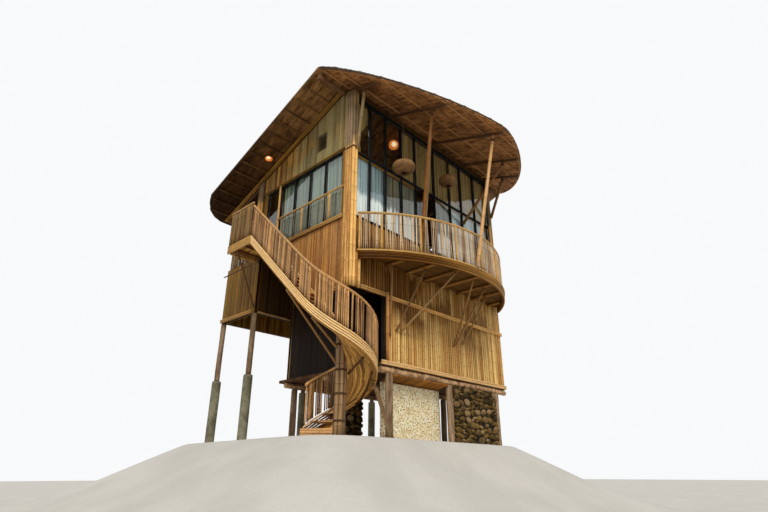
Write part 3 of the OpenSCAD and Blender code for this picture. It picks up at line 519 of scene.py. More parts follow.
def eave_curve(t):
    """The front eave's curve, which falls from 1 at 0 to 0 at 1."""
    return np.maximum(0, 1 - np.minimum(1, t) ** EAVE_POW) ** (1 / EAVE_POW)


def reach(y):
    """Half length of the roof at a place from front to back."""
    if y < RIDGE_Y:
        return EAVE_A * eave_curve((RIDGE_Y - y) / EAVE_B)
    if y > EAVE_BACK - EAVE_ROUND:
        t = y - EAVE_BACK + EAVE_ROUND
        return EAVE_A - EAVE_ROUND + math.sqrt(max(0.0, EAVE_ROUND ** 2 - t ** 2))
    return EAVE_A


def eave_front(x):
    return RIDGE_Y - EAVE_B * eave_curve(np.abs(x - EAVE_MID) / EAVE_A)


def front_edge(x):
    """The curved front eave, kept a little before the ridge at its ends."""
    return np.minimum(RIDGE_Y - 0.02, eave_front(x))


def back_edge(x):
    """The back eave with its rounded corners."""
    t = np.maximum(0, np.abs(x - EAVE_MID) - (EAVE_A - EAVE_ROUND))
    return EAVE_BACK - EAVE_ROUND + np.sqrt(np.maximum(0, EAVE_ROUND ** 2 - t ** 2))


def slope_at(s):
    return 1 + (0.54 - 1) * min(1, max(0, (s - 2.0) / 1.51))


def bend_at(s):
    return min(1, max(0, (s - 2.2) / 1.11)) / 0.9


def stair_line():
    """Rows of height, x, y, heading and length along the stair's outer edge."""
    z, x, y, a, s = FLOOR, -1.1, LAND_Y, math.radians(LEAN - 90), 0.0
    rows = []
    while z > 0.02:
        rows.append((z, x, y, a, s))
        a += bend_at(s) * STAIR_STEP
        z -= slope_at(s) * STAIR_STEP
        x += math.cos(a) * STAIR_STEP
        y += math.sin(a) * STAIR_STEP
        s += STAIR_STEP
    return np.array(rows)


LINE = stair_line()


def on_line(z, column):
    return float(np.interp(z, LINE[::-1, 0], LINE[::-1, column]))


def edge(z):
    return np.array([on_line(z, 1), on_line(z, 2)])


def inward(z):
    a = on_line(z, 3)
    return np.array([-math.sin(a), math.cos(a)])


def inset(z, d):
    return edge(z) + d * inward(z)


TURN_Z = float(np.interp(3.31, LINE[:, 4], LINE[:, 0]))
POST = edge(TURN_Z) + 0.9 * inward(TURN_Z)
# Below this height the inner string has ended
INNER_END = TURN_Z + 0.25
STAIR_ROWS = int((FLOOR - 0.29 + 0.03) / (RISE / 3))
GRID = [FLOOR - k * RISE / 3 for k in range(STAIR_ROWS + 1)]


def stair_width(z):
    return min(0.82, float(np.linalg.norm(edge(z) - POST)) - 0.148 - SEAT)


def tall(z, r):
    return r * math.sqrt(1 + slope_at(on_line(z, 4)) ** 2)


def string_h(z, i):
    return -OCTAGON * tall(z, STRING) - i * 1.86 * STRING


def string_low(z):
    return string_h(z, 3) - OCTAGON * tall(z, STRING)


def stair_path(d, h):
    """A path along the stair, d inside its edge and h above its nosing line."""
    line = []
    for z in GRID:
        p = inset(z, d)
        line.append((p[0], p[1], z + (h(z) if callable(h) else h)))
    return line


# Node trees

def add(tree, kind, inputs=None, **settings):
    """A node with its settings, its inputs linked or set."""
    node = tree.nodes.new("ShaderNode" + kind)
    for key, value in settings.items():
        setattr(node, key, value)
    for key, value in (inputs or {}).items():
        if isinstance(value, bpy.types.NodeSocket):
            tree.links.new(value, node.inputs[key])
        else:
            node.inputs[key].default_value = value
    return node


def calc(tree, kind, a, b=0.0, clamp=False):
    return add(tree, "Math", {0: a, 1: b}, operation=kind, use_clamp=clamp).outputs[0]


def blend(tree, factor, a, b, mode="MIX"):
    node = add(tree, "Mix", {0: factor, 6: a, 7: b}, data_type="RGBA", blend_type=mode)
    return node.outputs[2]


def stretch(tree, vector, scale):
    return add(tree, "Mapping", {"Vector": vector, "Scale": scale}).outputs[0]


def cloud(tree, vector, scale, detail=2.0, rough=0.5):
    return add(tree, "TexNoise", {
        "Vector": vector, "Scale": scale, "Detail": detail, "Roughness": rough}).outputs["Fac"]


def ramp(tree, value, low, high, a=0.0, b=1.0):
    """Turns a range of a value into another range, with a smooth start and end."""
    return add(tree, "MapRange", {
        "Value": value, "From Min": low, "From Max": high, "To Min": a, "To Max": b},
        interpolation_type="SMOOTHSTEP").outputs[0]


def group(name, inputs):
    """A node group with its colour and number sockets, for a finish's colour, roughness and height."""
    tree = bpy.data.node_groups.new(name, "ShaderNodeTree")
    for key, value in inputs.items():
        kind = "NodeSocketColor" if value is None else "NodeSocketFloat"
        socket = tree.interface.new_socket(key, in_out="INPUT", socket_type=kind)
        if value is not None:
            socket.default_value = value
    for key, kind in (("Color", "NodeSocketColor"), ("Roughness", "NodeSocketFloat"),
                      ("Height", "NodeSocketFloat")):
        tree.interface.new_socket(key, in_out="OUTPUT", socket_type=kind)
    return tree, tree.nodes.new("NodeGroupInput").outputs, tree.nodes.new("NodeGroupOutput").inputs


def put_out(tree, out, *sockets):
    for key, socket in zip(("Color", "Roughness", "Height"), sockets):
        tree.links.new(socket, out[key])
    return tree


def grey(tree, value):
    """A grey colour of one value."""
    return add(tree, "CombineColor", {0: value, 1: value, 2: value}).outputs[0]


def bamboo_group():
    """Colour, roughness and height of split or round bamboo, from each copy's own values."""
    tree, given, out = group("Bamboo surface", {
        "Light": None, "Dark": None, "Node": None, "Weathered": None, "Weather": 0.2, "Contrast": 1.0})
    tone = add(tree, "Attribute", attribute_name="tone").outputs["Fac"]
    joint = add(tree, "Attribute", attribute_name="joint").outputs["Fac"]
    local = add(tree, "Attribute", attribute_name="local").outputs["Vector"]
    place = add(tree, "TexCoord").outputs["Object"]
    fibre = cloud(tree, stretch(tree, local, (150, 150, 2.5)), 1.0, 3.0, 0.6)
    streak = cloud(tree, stretch(tree, local, (28, 28, 0.9)), 1.0, 2.0)
    patch = cloud(tree, place, 0.9, 2.0)
    mix = calc(tree, "ADD", calc(tree, "MULTIPLY", tone, 0.7),
               calc(tree, "MULTIPLY", calc(tree, "SUBTRACT", streak, 0.42), 1.6))
    mix = calc(tree, "MULTIPLY", mix, given["Contrast"], clamp=True)
    colour = blend(tree, mix, given["Light"], given["Dark"])
    own = calc(tree, "FRACT", calc(tree, "MULTIPLY", tone, 7.3))
    # The Weather input scales random patches and each copy's own share; on the front slats it comes from the
    # place and paints the balcony's shadow.
    worn_and_shaded = calc(tree, "MULTIPLY", calc(tree, "ADD", ramp(tree, patch, 0.4, 0.65), calc(
        tree, "MULTIPLY", own, 0.6)), given["Weather"])
    worn_and_shaded = calc(tree, "ADD", worn_and_shaded, calc(tree, "MAXIMUM", 0.0, calc(
        tree, "SUBTRACT", given["Weather"], 1.0)), clamp=True)
    odd = calc(tree, "ADD", calc(tree, "MULTIPLY", own, 0.8), 0.56)
    aged = blend(tree, 1.0, given["Weathered"], grey(tree, odd), "MULTIPLY")
    colour = blend(tree, worn_and_shaded, colour, aged)
    grain = ramp(tree, fibre, 0.2, 0.8, 0.72, 1.2)
    colour = blend(tree, 1.0, colour, grey(tree, grain), "MULTIPLY")
    near = calc(tree, "ABSOLUTE", calc(tree, "SUBTRACT", calc(tree, "FRACT", joint), 0.5))
    ring = ramp(tree, near, 0.01, 0.03, 1.0, 0.0)
    colour = blend(tree, calc(tree, "MULTIPLY", ring, 0.55), colour, given["Node"])
    rough = ramp(tree, fibre, 0.2, 0.8, 0.42, 0.68)
    height = calc(tree, "ADD", calc(tree, "MULTIPLY", fibre, 0.35), calc(tree, "MULTIPLY", ring, 0.6))
    return put_out(tree, out, colour, rough, height)


def weave_group():
    """A mat of flat strips woven over and under, in the plane of X and Y."""
    tree, given, out = group("Woven mat", {"Light": None, "Dark": None, "Strip": 0.03})
    place = add(tree, "TexCoord").outputs["Object"]
    parts = add(tree, "SeparateXYZ", {0: place}).outputs
    u = calc(tree, "DIVIDE", parts[0], given["Strip"])
    v = calc(tree, "DIVIDE", parts[1], given["Strip"])
    check = calc(tree, "MODULO", calc(tree, "ABSOLUTE", calc(
        tree, "ADD", calc(tree, "FLOOR", u), calc(tree, "FLOOR", v))), 2.0)
    across = calc(tree, "ABSOLUTE", calc(tree, "SUBTRACT", calc(tree, "FRACT", u), 0.5))
    down = calc(tree, "ABSOLUTE", calc(tree, "SUBTRACT", calc(tree, "FRACT", v), 0.5))
    seam = calc(tree, "MAXIMUM", across, down)
    rows = cloud(tree, stretch(tree, place, (1.2, 14, 1)), 2.0, 3.0, 0.6)
    cols = cloud(tree, stretch(tree, place, (14, 1.2, 1)), 2.0, 3.0, 0.6)
    patch = cloud(tree, place, 1.1, 3.0, 0.6)
    over = blend(tree, check, grey(tree, rows), grey(tree, cols))
    value = add(tree, "SeparateColor", {0: over}).outputs[0]
    streak = cloud(tree, stretch(tree, place, (9, 2.2, 1)), 1.0, 3.0, 0.65)
    mix = calc(tree, "ADD", calc(tree, "MULTIPLY", value, 0.8), calc(tree, "MULTIPLY", patch, 0.7))
    mix = calc(tree, "ADD", mix, calc(tree, "MULTIPLY", calc(tree, "SUBTRACT", streak, 0.5), 1.3))
    mix = ramp(tree, mix, 0.45, 1.05)
    colour = blend(tree, mix, given["Dark"], given["Light"])
    colour = blend(tree, ramp(tree, seam, 0.4, 0.5, 0.0, 0.6), colour, given["Dark"])
    height = calc(tree, "SUBTRACT", 1.0, ramp(tree, seam, 0.15, 0.5))
    return put_out(tree, out, colour, ramp(tree, value, 0.3, 0.7, 0.6, 0.85), height)


def rock_group():
    """Mottled colour and height for stone, plaster, concrete and old wood."""
    tree, given, out = group("Mottled surface", {
        "Light": None, "Dark": None, "Pits": None, "Scale": 6.0, "Pit amount": 0.5, "Pit edge": 0.56,
        "Tone": 0.0, "Stretch": 1.0})
    tone = add(tree, "Attribute", attribute_name="tone").outputs["Fac"]
    place = add(tree, "TexCoord").outputs["Object"]
    squeeze = add(tree, "CombineXYZ", {0: 1.0, 1: 1.0, 2: given["Stretch"]}).outputs[0]
    place = add(tree, "VectorMath", {0: place, 1: squeeze}, operation="MULTIPLY").outputs[0]
    broad = add(tree, "TexNoise", {
        "Vector": place, "Scale": given["Scale"], "Detail": 4.0, "Roughness": 0.6}).outputs["Fac"]
    fine = cloud(tree, place, 55.0, 4.0, 0.65)
    pit = cloud(tree, place, 24.0, 3.0, 0.7)
    mix = calc(tree, "ADD", ramp(tree, broad, 0.32, 0.68), calc(
        tree, "MULTIPLY", calc(tree, "SUBTRACT", tone, 0.5), given["Tone"]), clamp=True)
    colour = blend(tree, mix, given["Light"], given["Dark"])
    grain = ramp(tree, fine, 0.25, 0.75, 0.84, 1.12)
    colour = blend(tree, 1.0, colour, grey(tree, grain), "MULTIPLY")
    deep = ramp(tree, calc(tree, "SUBTRACT", pit, given["Pit edge"]), 0.0, 0.08)
    hole = calc(tree, "MULTIPLY", deep, given["Pit amount"])
    colour = blend(tree, hole, colour, given["Pits"])
    height = calc(tree, "SUBTRACT", calc(tree, "MULTIPLY", fine, 0.5), calc(tree, "MULTIPLY", hole, 0.8))
    return put_out(tree, out, colour, ramp(tree, fine, 0.2, 0.8, 0.7, 0.92), height)


@cache
def shared(kind):
    return {"bamboo": bamboo_group, "weave": weave_group, "rock": rock_group}[kind]()


def new_material(name):
    """A new material, its node tree and its Principled shader."""
    material = bpy.data.materials.new(name)
    material.use_nodes = True
    return material, material.node_tree, material.node_tree.nodes["Principled BSDF"]


def finish_with(name, kind, values, bump, distance):
    """A material whose colour, roughness and relief come from a shared group."""
    material, tree, shader = new_material(name)
    shader.inputs["Specular IOR Level"].default_value = GLOSS
    node = tree.nodes.new("ShaderNodeGroup")
    node.node_tree = shared(kind)
    for key, value in values.items():
        node.inputs[key].default_value = value
    tree.links.new(node.outputs["Color"], shader.inputs["Base Color"])
    tree.links.new(node.outputs["Roughness"], shader.inputs["Roughness"])
    relief = add(tree, "Bump", {
        "Strength": bump, "Distance": distance, "Height": node.outputs["Height"]})
    tree.links.new(relief.outputs[0], shader.inputs["Normal"])
    return material


def wear_and_shade_by_place(material, axis, low, high, least, most, spare=None):
    """Weathers a bamboo material more towards one end of the house, and spares a part of it; on the front
    slats this weathering is painted balcony shadow.
    """
    tree = material.node_tree
    node = next(n for n in tree.nodes if n.type == "GROUP")
    place = add(tree, "TexCoord").outputs["Object"]
    parts = add(tree, "SeparateXYZ", {0: place}).outputs
    blur = calc(tree, "MULTIPLY", calc(tree, "SUBTRACT", cloud(tree, place, 2.0), 0.5), 0.5)
    amount = ramp(tree, calc(tree, "ADD", parts[axis], blur), low, high, least, most)
    if spare:
        amount = calc(tree, "MULTIPLY", amount, ramp(tree, parts[spare[0]], spare[1], spare[2]))
    tree.links.new(amount, node.inputs["Weather"])


def fade(material, axis, low, high, colour):
    """Darkens a material towards one end of the house; on the roof mat's back slope this is painted shade."""
    tree = material.node_tree
    node = next(n for n in tree.nodes if n.type == "GROUP")
    place = add(tree, "TexCoord").outputs["Object"]
    part = add(tree, "SeparateXYZ", {0: place}).outputs[axis]
    amount = ramp(tree, part, low, high)
    mixed = blend(tree, amount, node.outputs["Color"], colour, "MULTIPLY")
    tree.links.new(mixed, tree.nodes["Principled BSDF"].inputs["Base Color"])


# Bamboo finishes: light, dark, node and weathered colour, amount of weather, contrast; the front slats'
# weathered colour is also their painted balcony shadow
BAMBOO = {
    "Golden culm": ("pole_looks.light", "pole_looks.dark", (104, 66, 34), (156, 138, 108), 0.2, 1.0),
    "Corner culm": ("pole_looks.corner", (172, 114, 58), (100, 62, 32), (154, 130, 100), 0.25, 1.15),
    "Brown culm": ((178, 128, 70), (98, 64, 32), (62, 40, 22), (142, 118, 82), 0.3, 1.0),
    "Joist culm": ((206, 146, 74), (132, 88, 40), (70, 44, 22), (150, 116, 68), 0.25, 1.0),
    "Prop culm": ((186, 138, 82), (112, 76, 42), (70, 46, 28), (146, 122, 88), 0.3, 1.0),
    "Stair post culm": ((178, 142, 100), (98, 72, 48), (60, 42, 28), (140, 122, 98), 0.4, 1.15),
    "Tan strut": ((160, 134, 92), (92, 70, 44), (60, 44, 28), (128, 114, 86), 0.4, 1.0),
    "Beige strut": ((238, 184, 122), (156, 108, 64), (96, 62, 34), (190, 158, 118), 0.3, 1.0),
    "Middle strut": ((140, 88, 36), (96, 58, 24), (70, 42, 20), (128, 86, 46), 0.3, 1.0),
    "String culm": ((255, 218, 154), (206, 154, 94), (150, 104, 60), (210, 176, 130), 0.2, 1.1),
    "Window stick": ((178, 166, 136), (92, 84, 66), (64, 54, 42), (140, 142, 124), 0.5, 1.2),
    "Batten culm": ((206, 146, 84), (120, 76, 42), (84, 52, 30), (150, 124, 88), 0.25, 1.0),
    # The back slope's battens are a darker copy of the batten culm: painted shade.
    "Batten culm, back slope in painted shade": ((130, 92, 48), (58, 38, 18), (44, 28, 14), (96, 76, 44), 0.25, 1.0),
    "Shaded culm": ((128, 86, 50), (78, 50, 30), (44, 28, 18), (104, 86, 66), 0.3, 1.0),
    "Grey stick": ((244, 214, 172), (128, 86, 54), (84, 56, 36), (206, 186, 158), 0.4, 1.15),
    # The front slats' weathered colour doubles as the colour of their painted balcony shadow.
    "Front slats": ("slat_looks.front", (196, 138, 70), (104, 60, 24), (128, 86, 36), 0.3, 1.3),
    "Side slats": ("slat_looks.side", (122, 76, 42), (70, 42, 24), (172, 130, 80), 0.45, 1.1),
    "Shaded slats": ((48, 32, 18), (24, 15, 8), (18, 12, 6), (40, 28, 16), 0.3, 1.2),
    "Wing slats": ((180, 132, 56), (88, 58, 20), (58, 38, 14), (116, 92, 38), 0.4, 1.2),
    "Wing slats in shade": ((92, 62, 28), (48, 30, 12), (32, 20, 8), (66, 48, 22), 0.4, 1.2),
    "Deck boards": ((128, 86, 34), (74, 46, 16), (50, 32, 12), (98, 72, 34), 0.4, 0.9),
    "Bent edge": ((226, 168, 88), (112, 72, 26), (70, 44, 16), (150, 112, 54), 0.35, 1.2),
    "Landing culm": ((158, 120, 68), (84, 56, 28), (54, 34, 18), (122, 104, 70), 0.4, 1.2),
    "Soffit strips": ((190, 122, 42), (96, 56, 16), (66, 40, 12), (128, 90, 38), 0.3, 1.1),
    "Vent blades": ((140, 118, 84), (76, 60, 40), (50, 38, 26), (120, 112, 86), 0.5, 1.0),
    "Gable slats": ((226, 168, 86), (104, 68, 28), (68, 46, 24), (142, 128, 86), 0.5, 1.3),
    "Rail culm": ((240, 182, 114), (86, 54, 32), (62, 40, 24), (168, 138, 104), 0.3, 1.3),
    "Soffit slats": ((252, 190, 104), (132, 88, 38), (96, 62, 30), (150, 112, 58), 0.4, 1.15),
    "Roof tiles": ((128, 108, 80), (66, 52, 36), (48, 36, 26), (104, 100, 88), 0.6, 1.1),
    "Roof edge": ((84, 62, 40), (44, 32, 22), (30, 22, 16), (70, 60, 48), 0.4, 1.0),
}

# Mottled finishes: light, dark and pit colour, scale, pit amount, relief and its depth, other values
ROCK = {
    # The dark core's near-black colour is painted shade, seen in the gaps between slats.
    "Dark core": ((48, 32, 20), (28, 18, 12), (16, 10, 8), 5.0, 0.3, 0.2, 0.004, {}),
    "Trunk wood": ((172, 146, 116), (104, 80, 60), (54, 40, 30), 7.0, 0.5, 0.6, 0.012,
                   {"Stretch": 0.18, "Tone": 0.3}),
    "Driftwood": ((212, 172, 130), (122, 90, 64), (60, 42, 30), 6.0, 0.55, 0.6, 0.012, {"Tone": 0.3}),
    "Floor planks": ((112, 78, 48), (66, 44, 28), (40, 26, 18), 4.0, 0.3, 0.3, 0.004, {}),
    "Concrete": ((142, 138, 116), (100, 96, 78), (66, 62, 48), 3.0, 0.4, 0.4, 0.008, {}),
    "Rough plaster": ("base_looks.plaster", (238, 216, 166), (106, 78, 46), 6.0, 0.9, 0.9, 0.02,
                      {"Pit edge": 0.535}),
    "Cobbles": ("base_looks.cobble", (54, 40, 18), (34, 24, 12), 5.0, 0.45, 0.7, 0.015, {"Tone": 1.2}),
    "Pale stones": ((150, 124, 84), (90, 70, 40), (56, 42, 24), 5.0, 0.45, 0.7, 0.015, {"Tone": 1.2}),
    "Mortar": ((40, 30, 18), (22, 16, 10), (12, 8, 5), 8.0, 0.5, 0.6, 0.012, {}),
    "Rope": ((110, 80, 52), (60, 42, 28), (30, 20, 14), 30.0, 0.4, 0.6, 0.004, {}),
    "Black timber": ((20, 21, 23), (11, 12, 14), (34, 33, 30), 6.0, 0.25, 0.15, 0.004, {}),
    "Pale floor": ("stage_looks.floor", (190, 188, 183), (184, 182, 178), 0.6, 0.2, 0.05, 0.004, {}),
}

# Woven finishes: light and dark colour, width of a strip, relief and its depth
WEAVE = {
    "Woven roof mat": ((208, 146, 88), (94, 60, 34), 0.045, 0.6, 0.008),
    # The back slope's mat is a darker copy of the front's: painted shade.
    "Woven roof mat, back slope in painted shade": ((178, 132, 80), (82, 54, 28), 0.045, 0.6, 0.008),
    "Basket weave": ((150, 114, 74), (94, 62, 36), 0.02, 0.5, 0.004),
}

# Cloths: light and dark colour, and whether the foot is white with sun
CLOTH = {
    "Curtain cloth": ((206, 216, 220), (140, 156, 166), True),
    "Drape cloth": ((178, 146, 82), (128, 102, 52), False),
    "Side curtain cloth": ((128, 144, 126), (78, 90, 76), False),
    "Blue-grey curtain cloth": ((168, 186, 196), (122, 142, 152), True),
    "Slate curtain cloth": ((138, 160, 168), (76, 92, 98), True),
    "Grey-green curtain cloth": ((128, 128, 106), (72, 74, 60), True),
}

# Bamboo that weathers towards one end, the front slats with painted balcony shadow instead: axis, from, to,
# least, most, and a part that is spared
WEAR_AND_SHADE_BY_PLACE = {
    "Corner culm": (2, 7.35, 7.75, 0.1, 1.7),
    "Middle strut": (2, 6.4, 7.6, 0.0, 1.0),
    # Painted shadow of the balcony: the front slats darken upwards from about 2.35 m, all but their right
    # end.
    "Front slats": (2, 2.35, 3.6, 0.08, 1.15, (0, 2.45, 2.05)),
    "Gable slats": (1, 2.6, -0.9, 0.15, 1.35),
}

# Finishes that darken towards one end: axis, from, to, colour
FADE = {
    "Bent edge": (0, 0.3, -2.6, (150, 128, 66)),
    # Painted shade: the back slope's mat darkens further towards the back.
    "Woven roof mat, back slope in painted shade": (1, -1.6, 3.6, (112, 96, 62)),
}


def colour_of(value):
    """A linear colour from a screen colour, or from a setting by its name."""
    return bpy.context.scene.path_resolve(value) if isinstance(value, str) else shade(*value)


def finish(name):
    """The material of this name, made when it is first asked for."""
    if name in bpy.data.materials:
        return bpy.data.materials[name]
    if name == "Window glass":
        return glass(name)
    if name == "Orange globe":
        return glow(name)
    if name in CLOTH:
        light, dark, sunlit = CLOTH[name]
        return cloth(name, shade(*light), shade(*dark), sunlit)
    if name in WEAVE:
        light, dark, strip_width, *relief = WEAVE[name]
        values = {"Light": shade(*light), "Dark": shade(*dark), "Strip": strip_width}
        material = finish_with(name, "weave", values, *relief)
    elif name in ROCK:
        light, dark, pits, scale, amount, *relief, values = ROCK[name]
        values = {"Light": colour_of(light), "Dark": shade(*dark), "Pits": shade(*pits), "Scale": scale,
                  "Pit amount": amount, **values}
        material = finish_with(name, "rock", values, *relief)
    else:
        light, dark, ring, worn_and_shaded, weather, contrast = BAMBOO[name]
        values = {"Light": colour_of(light), "Dark": colour_of(dark), "Node": shade(*ring),
                  "Weathered": shade(*worn_and_shaded), "Weather": weather, "Contrast": contrast}
        material = finish_with(name, "bamboo", values, 0.5, 0.004)
    if name in WEAR_AND_SHADE_BY_PLACE:
        wear_and_shade_by_place(material, *WEAR_AND_SHADE_BY_PLACE[name])
    if name in FADE:
        *line, colour = FADE[name]
        fade(material, *line, shade(*colour))
    return material


def glass(name):
    """Clear glass that lets light through to the room."""
    material, tree, shader = new_material(name)
    shader.inputs["Base Color"].default_value = (0.93, 0.97, 0.96, 1)
    shader.inputs["Metallic"].default_value = 0.0
    shader.inputs["Transmission Weight"].default_value = 1.0
    shader.inputs["IOR"].default_value = 1.45
    place = add(tree, "TexCoord").outputs["Object"]
    smear = cloud(tree, place, 3.0, 3.0, 0.6)
    tree.links.new(ramp(tree, smear, 0.35, 0.75, 0.01, 0.06), shader.inputs["Roughness"])
    relief = add(tree, "Bump", {"Strength": 0.05, "Distance": 0.01, "Height": smear})
    tree.links.new(relief.outputs[0], shader.inputs["Normal"])
    path = add(tree, "LightPath")
    see = calc(tree, "MAXIMUM", path.outputs["Is Shadow Ray"], path.outputs["Is Diffuse Ray"])
    clear_part = add(tree, "BsdfTransparent", {"Color": (0.9, 0.94, 0.93, 1)})
    both = add(tree, "MixShader", {0: see, 1: shader.outputs[0], 2: clear_part.outputs[0]})
    out = tree.nodes["Material Output"]
    tree.links.new(both.outputs[0], out.inputs["Surface"])
    return material


def cloth(name, light, dark, sunlit):
    """Thin cloth with a fine weave and soft folds, in some places white at its foot."""
    material, tree, shader = new_material(name)
    shader.inputs["Sheen Weight"].default_value = 0.2
    shader.inputs["Transmission Weight"].default_value = 0.0
    place = add(tree, "TexCoord").outputs["Object"]
    broad = cloud(tree, stretch(tree, place, (11, 11, 0.25)), 1.0, 2.0)
    threads = cloud(tree, stretch(tree, place, (400, 400, 400)), 1.0, 2.0)
    colour = blend(tree, ramp(tree, broad, 0.36, 0.64), light, dark)
    if sunlit:
        up = add(tree, "SeparateXYZ", {0: place}).outputs[2]
        up = calc(tree, "ADD", up, calc(tree, "MULTIPLY", calc(tree, "SUBTRACT", broad, 0.5), 0.5))
        colour = blend(tree, ramp(tree, up, 6.2, 6.4), shade(252, 254, 255), colour)
    grain = ramp(tree, threads, 0.2, 0.8, 0.9, 1.06)
    colour = blend(tree, 1.0, colour, grey(tree, grain), "MULTIPLY")
    tree.links.new(colour, shader.inputs["Base Color"])
    tree.links.new(ramp(tree, threads, 0.2, 0.8, 0.8, 0.95), shader.inputs["Roughness"])
    relief = add(tree, "Bump", {"Strength": 0.3, "Distance": 0.001, "Height": threads})
    tree.links.new(relief.outputs[0], shader.inputs["Normal"])
    return material


def glow(name):
    """A lit globe of coloured glass, brightest where its tone holds a painted hot spot."""
    material, tree, shader = new_material(name)
    place = add(tree, "TexCoord").outputs["Object"]
    patch = cloud(tree, place, 20.0, 2.0)
    tone = add(tree, "Attribute", attribute_name="tone").outputs["Fac"]
    mottled = calc(tree, "ADD", tone, calc(tree, "MULTIPLY", calc(tree, "SUBTRACT", patch, 0.5), 0.15))
    warm = blend(tree, ramp(tree, mottled, 0.3, 1.0), shade(192, 102, 34), shade(255, 232, 180))
    tree.links.new(warm, shader.inputs["Base Color"])
    tree.links.new(warm, shader.inputs["Emission Color"])
    shader.inputs["Emission Strength"].default_value = 1.0
    shader.inputs["Roughness"].default_value = 0.4
    return material


def repaint(node, name):
    """A CAD node that stays gets a better material in all its slots."""
    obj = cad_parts[node]
    for slot in obj.material_slots:
        slot.material = finish(name)
    if not obj.material_slots:
        obj.data.materials.append(finish(name))


def hand_over(obj, name, finishes, slot, *nodes):
    """Names a piece, gives it its materials and hands it to the frame."""
    obj.name = name
    for part in [finishes] if isinstance(finishes, str) else finishes:
        obj.data.materials.append(finish(part))
    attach(obj, "root")
    if nodes:
        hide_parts(*nodes)


def tie(batch, place, direction, radius, rng, turns=4):
    """A rope binding round a pole: turns of rope side by side."""
    form = tie_form()
    d = unit(np.array(direction, float))
    ref = np.array([0.0, 0.0, 1.0]) if abs(d[2]) < 0.9 else np.array([1.0, 0.0, 0.0])
    u = unit(np.cross(d, ref))
    v = np.cross(d, u)
    for i in range(turns):
        c = np.array(place) + d * (i - (turns - 1) / 2) * ROPE
        p = form.points
        points = c + (u * p[:, :1] + v * p[:, 1:2]) * radius + d * p[:, 2:] * 0.06
        batch.add(form, points, p * radius, 0.25, rng.random())


# One operator for each piece or group of like pieces

class HOUSE_OT_walls(bpy.types.Operator):
    """Split bamboo slats on both faces of every wall, over a dark core"""
    bl_idname = "house.walls"
    bl_label = "Slat walls"

    def execute(self, context):
        rng = random.Random(11)
        a, b, foot = WALL + SEAT, LOWER_D - WALL - SEAT, LOWER + SEAT
        left, right, wide = along_y(0), along_y(WIDE, -1), {"width": 0.09, "gap": 0.024}
        door = {"holes": [(0.23, 1.33, LOWER, LOWER + 2.05)]}
        skirt = lambda u: SKIRT - 0.05 + 0.8 * np.maximum(0, u - 1.7)
        for name, look, slot, node, *parts in (
                ("front_band", "Front slats", "bamboo_slats", "front_band_wall",
                 (along_x(0), 0, WIDE, SKIRT, LOW_Z - SEAT, wide)),
                ("lower_front", "Front slats", "bamboo_slats", "lower_front_wall",
                 (along_x(0), LOWER_X, WIDE, foot, SKIRT - SEAT, wide)),
                ("lower_side", "Shaded slats", "dark_slats", "lower_side_wall",
                 (along_y(LOWER_X), a, b, foot, ROOM_TOP, door)),
                ("lower_right", "Front slats", "bamboo_slats", "lower_right_wall",
                 (right, a, b, foot, ROOM_TOP, {})),
                ("lower_back", "Front slats", "bamboo_slats", "lower_back_wall",
                 (along_x(LOWER_D, -1), LOWER_X, WIDE - WALL - SEAT, foot, ROOM_TOP, {})),
                ("left_skirt", "Side slats", "dark_slats", "left_skirt_wall",
                 (left, a, LOWER_D - SEAT, skirt, FLOOR, {"breaks": [1.7]})),
                ("wing_walls", "Wing slats", "bamboo_slats", "wing_skirt",
                 (left, LOWER_D, DEEP, WING, FLOOR, {}),
                 (right, LOWER_D + SEAT, DEEP, WING, FLOOR, {}),
                 (along_x(DEEP, -1), a, WIDE - WALL - SEAT, WING, FLOOR, {})),
                ("wing_front", "Wing slats in shade", "bamboo_slats", "wing_skirt",
                 (along_x(LOWER_D), a, LOWER_X - SEAT, WING, ROOM_TOP, {}))):
            batch = Batch()
            for *lines, more in parts:
                wall(batch, *lines, rng, **more)
            batch.make(name, [look, "Dark core"], slot, node)
        return {"FINISHED"}


class HOUSE_OT_upper_walls(bpy.types.Operator):
    """Weathered planks on the gables, the piers beside the windows and the terrace wall"""
    bl_idname = "house.upper_walls"
    bl_label = "Upper walls"

    def execute(self, context):
        rng = random.Random(12)
        top = lambda u: under(u, WALL_TOP)
        vent = [(1.18, 1.63, 8.1, 8.72)]
        sides = (("left_gable", along_y(0)), ("right_gable", along_y(WIDE, -1)))
        for node, place in sides:
            batch = Batch()
            wall(batch, place, WALL + SEAT, ROOM, HEAD + SEAT, top, rng, holes=vent, width=0.088,
                 breaks=[RIDGE_Y])
            batch.make(node + "_slats", ["Gable slats", "Dark core"], "grey_slats", node)
        batch = Batch()
        for (_, place), back in zip(sides, (4.04, 3.3)):
            for start, end in ((WALL + SEAT, 0.45), (back, ROOM - WALL - SEAT)):
                wall(batch, place, start, end, FLOOR + SEAT, HEAD, rng)
        batch.make("pier_slats", ["Wing slats", "Dark core"], "bamboo_slats", "side_piers")
        batch = Batch()
        peak = float(under(ROOM, WALL_TOP))
        wall(batch, along_x(ROOM, -1), WALL + SEAT, WIDE - WALL - SEAT, FLOOR + SEAT, peak, rng,
             holes=[(1.4, 4.95, FLOOR, HEAD)], width=0.068)
        batch.make("terrace_wall", ["Gable slats", "Dark core"], "grey_slats", "back_wall")
        return {"FINISHED"}


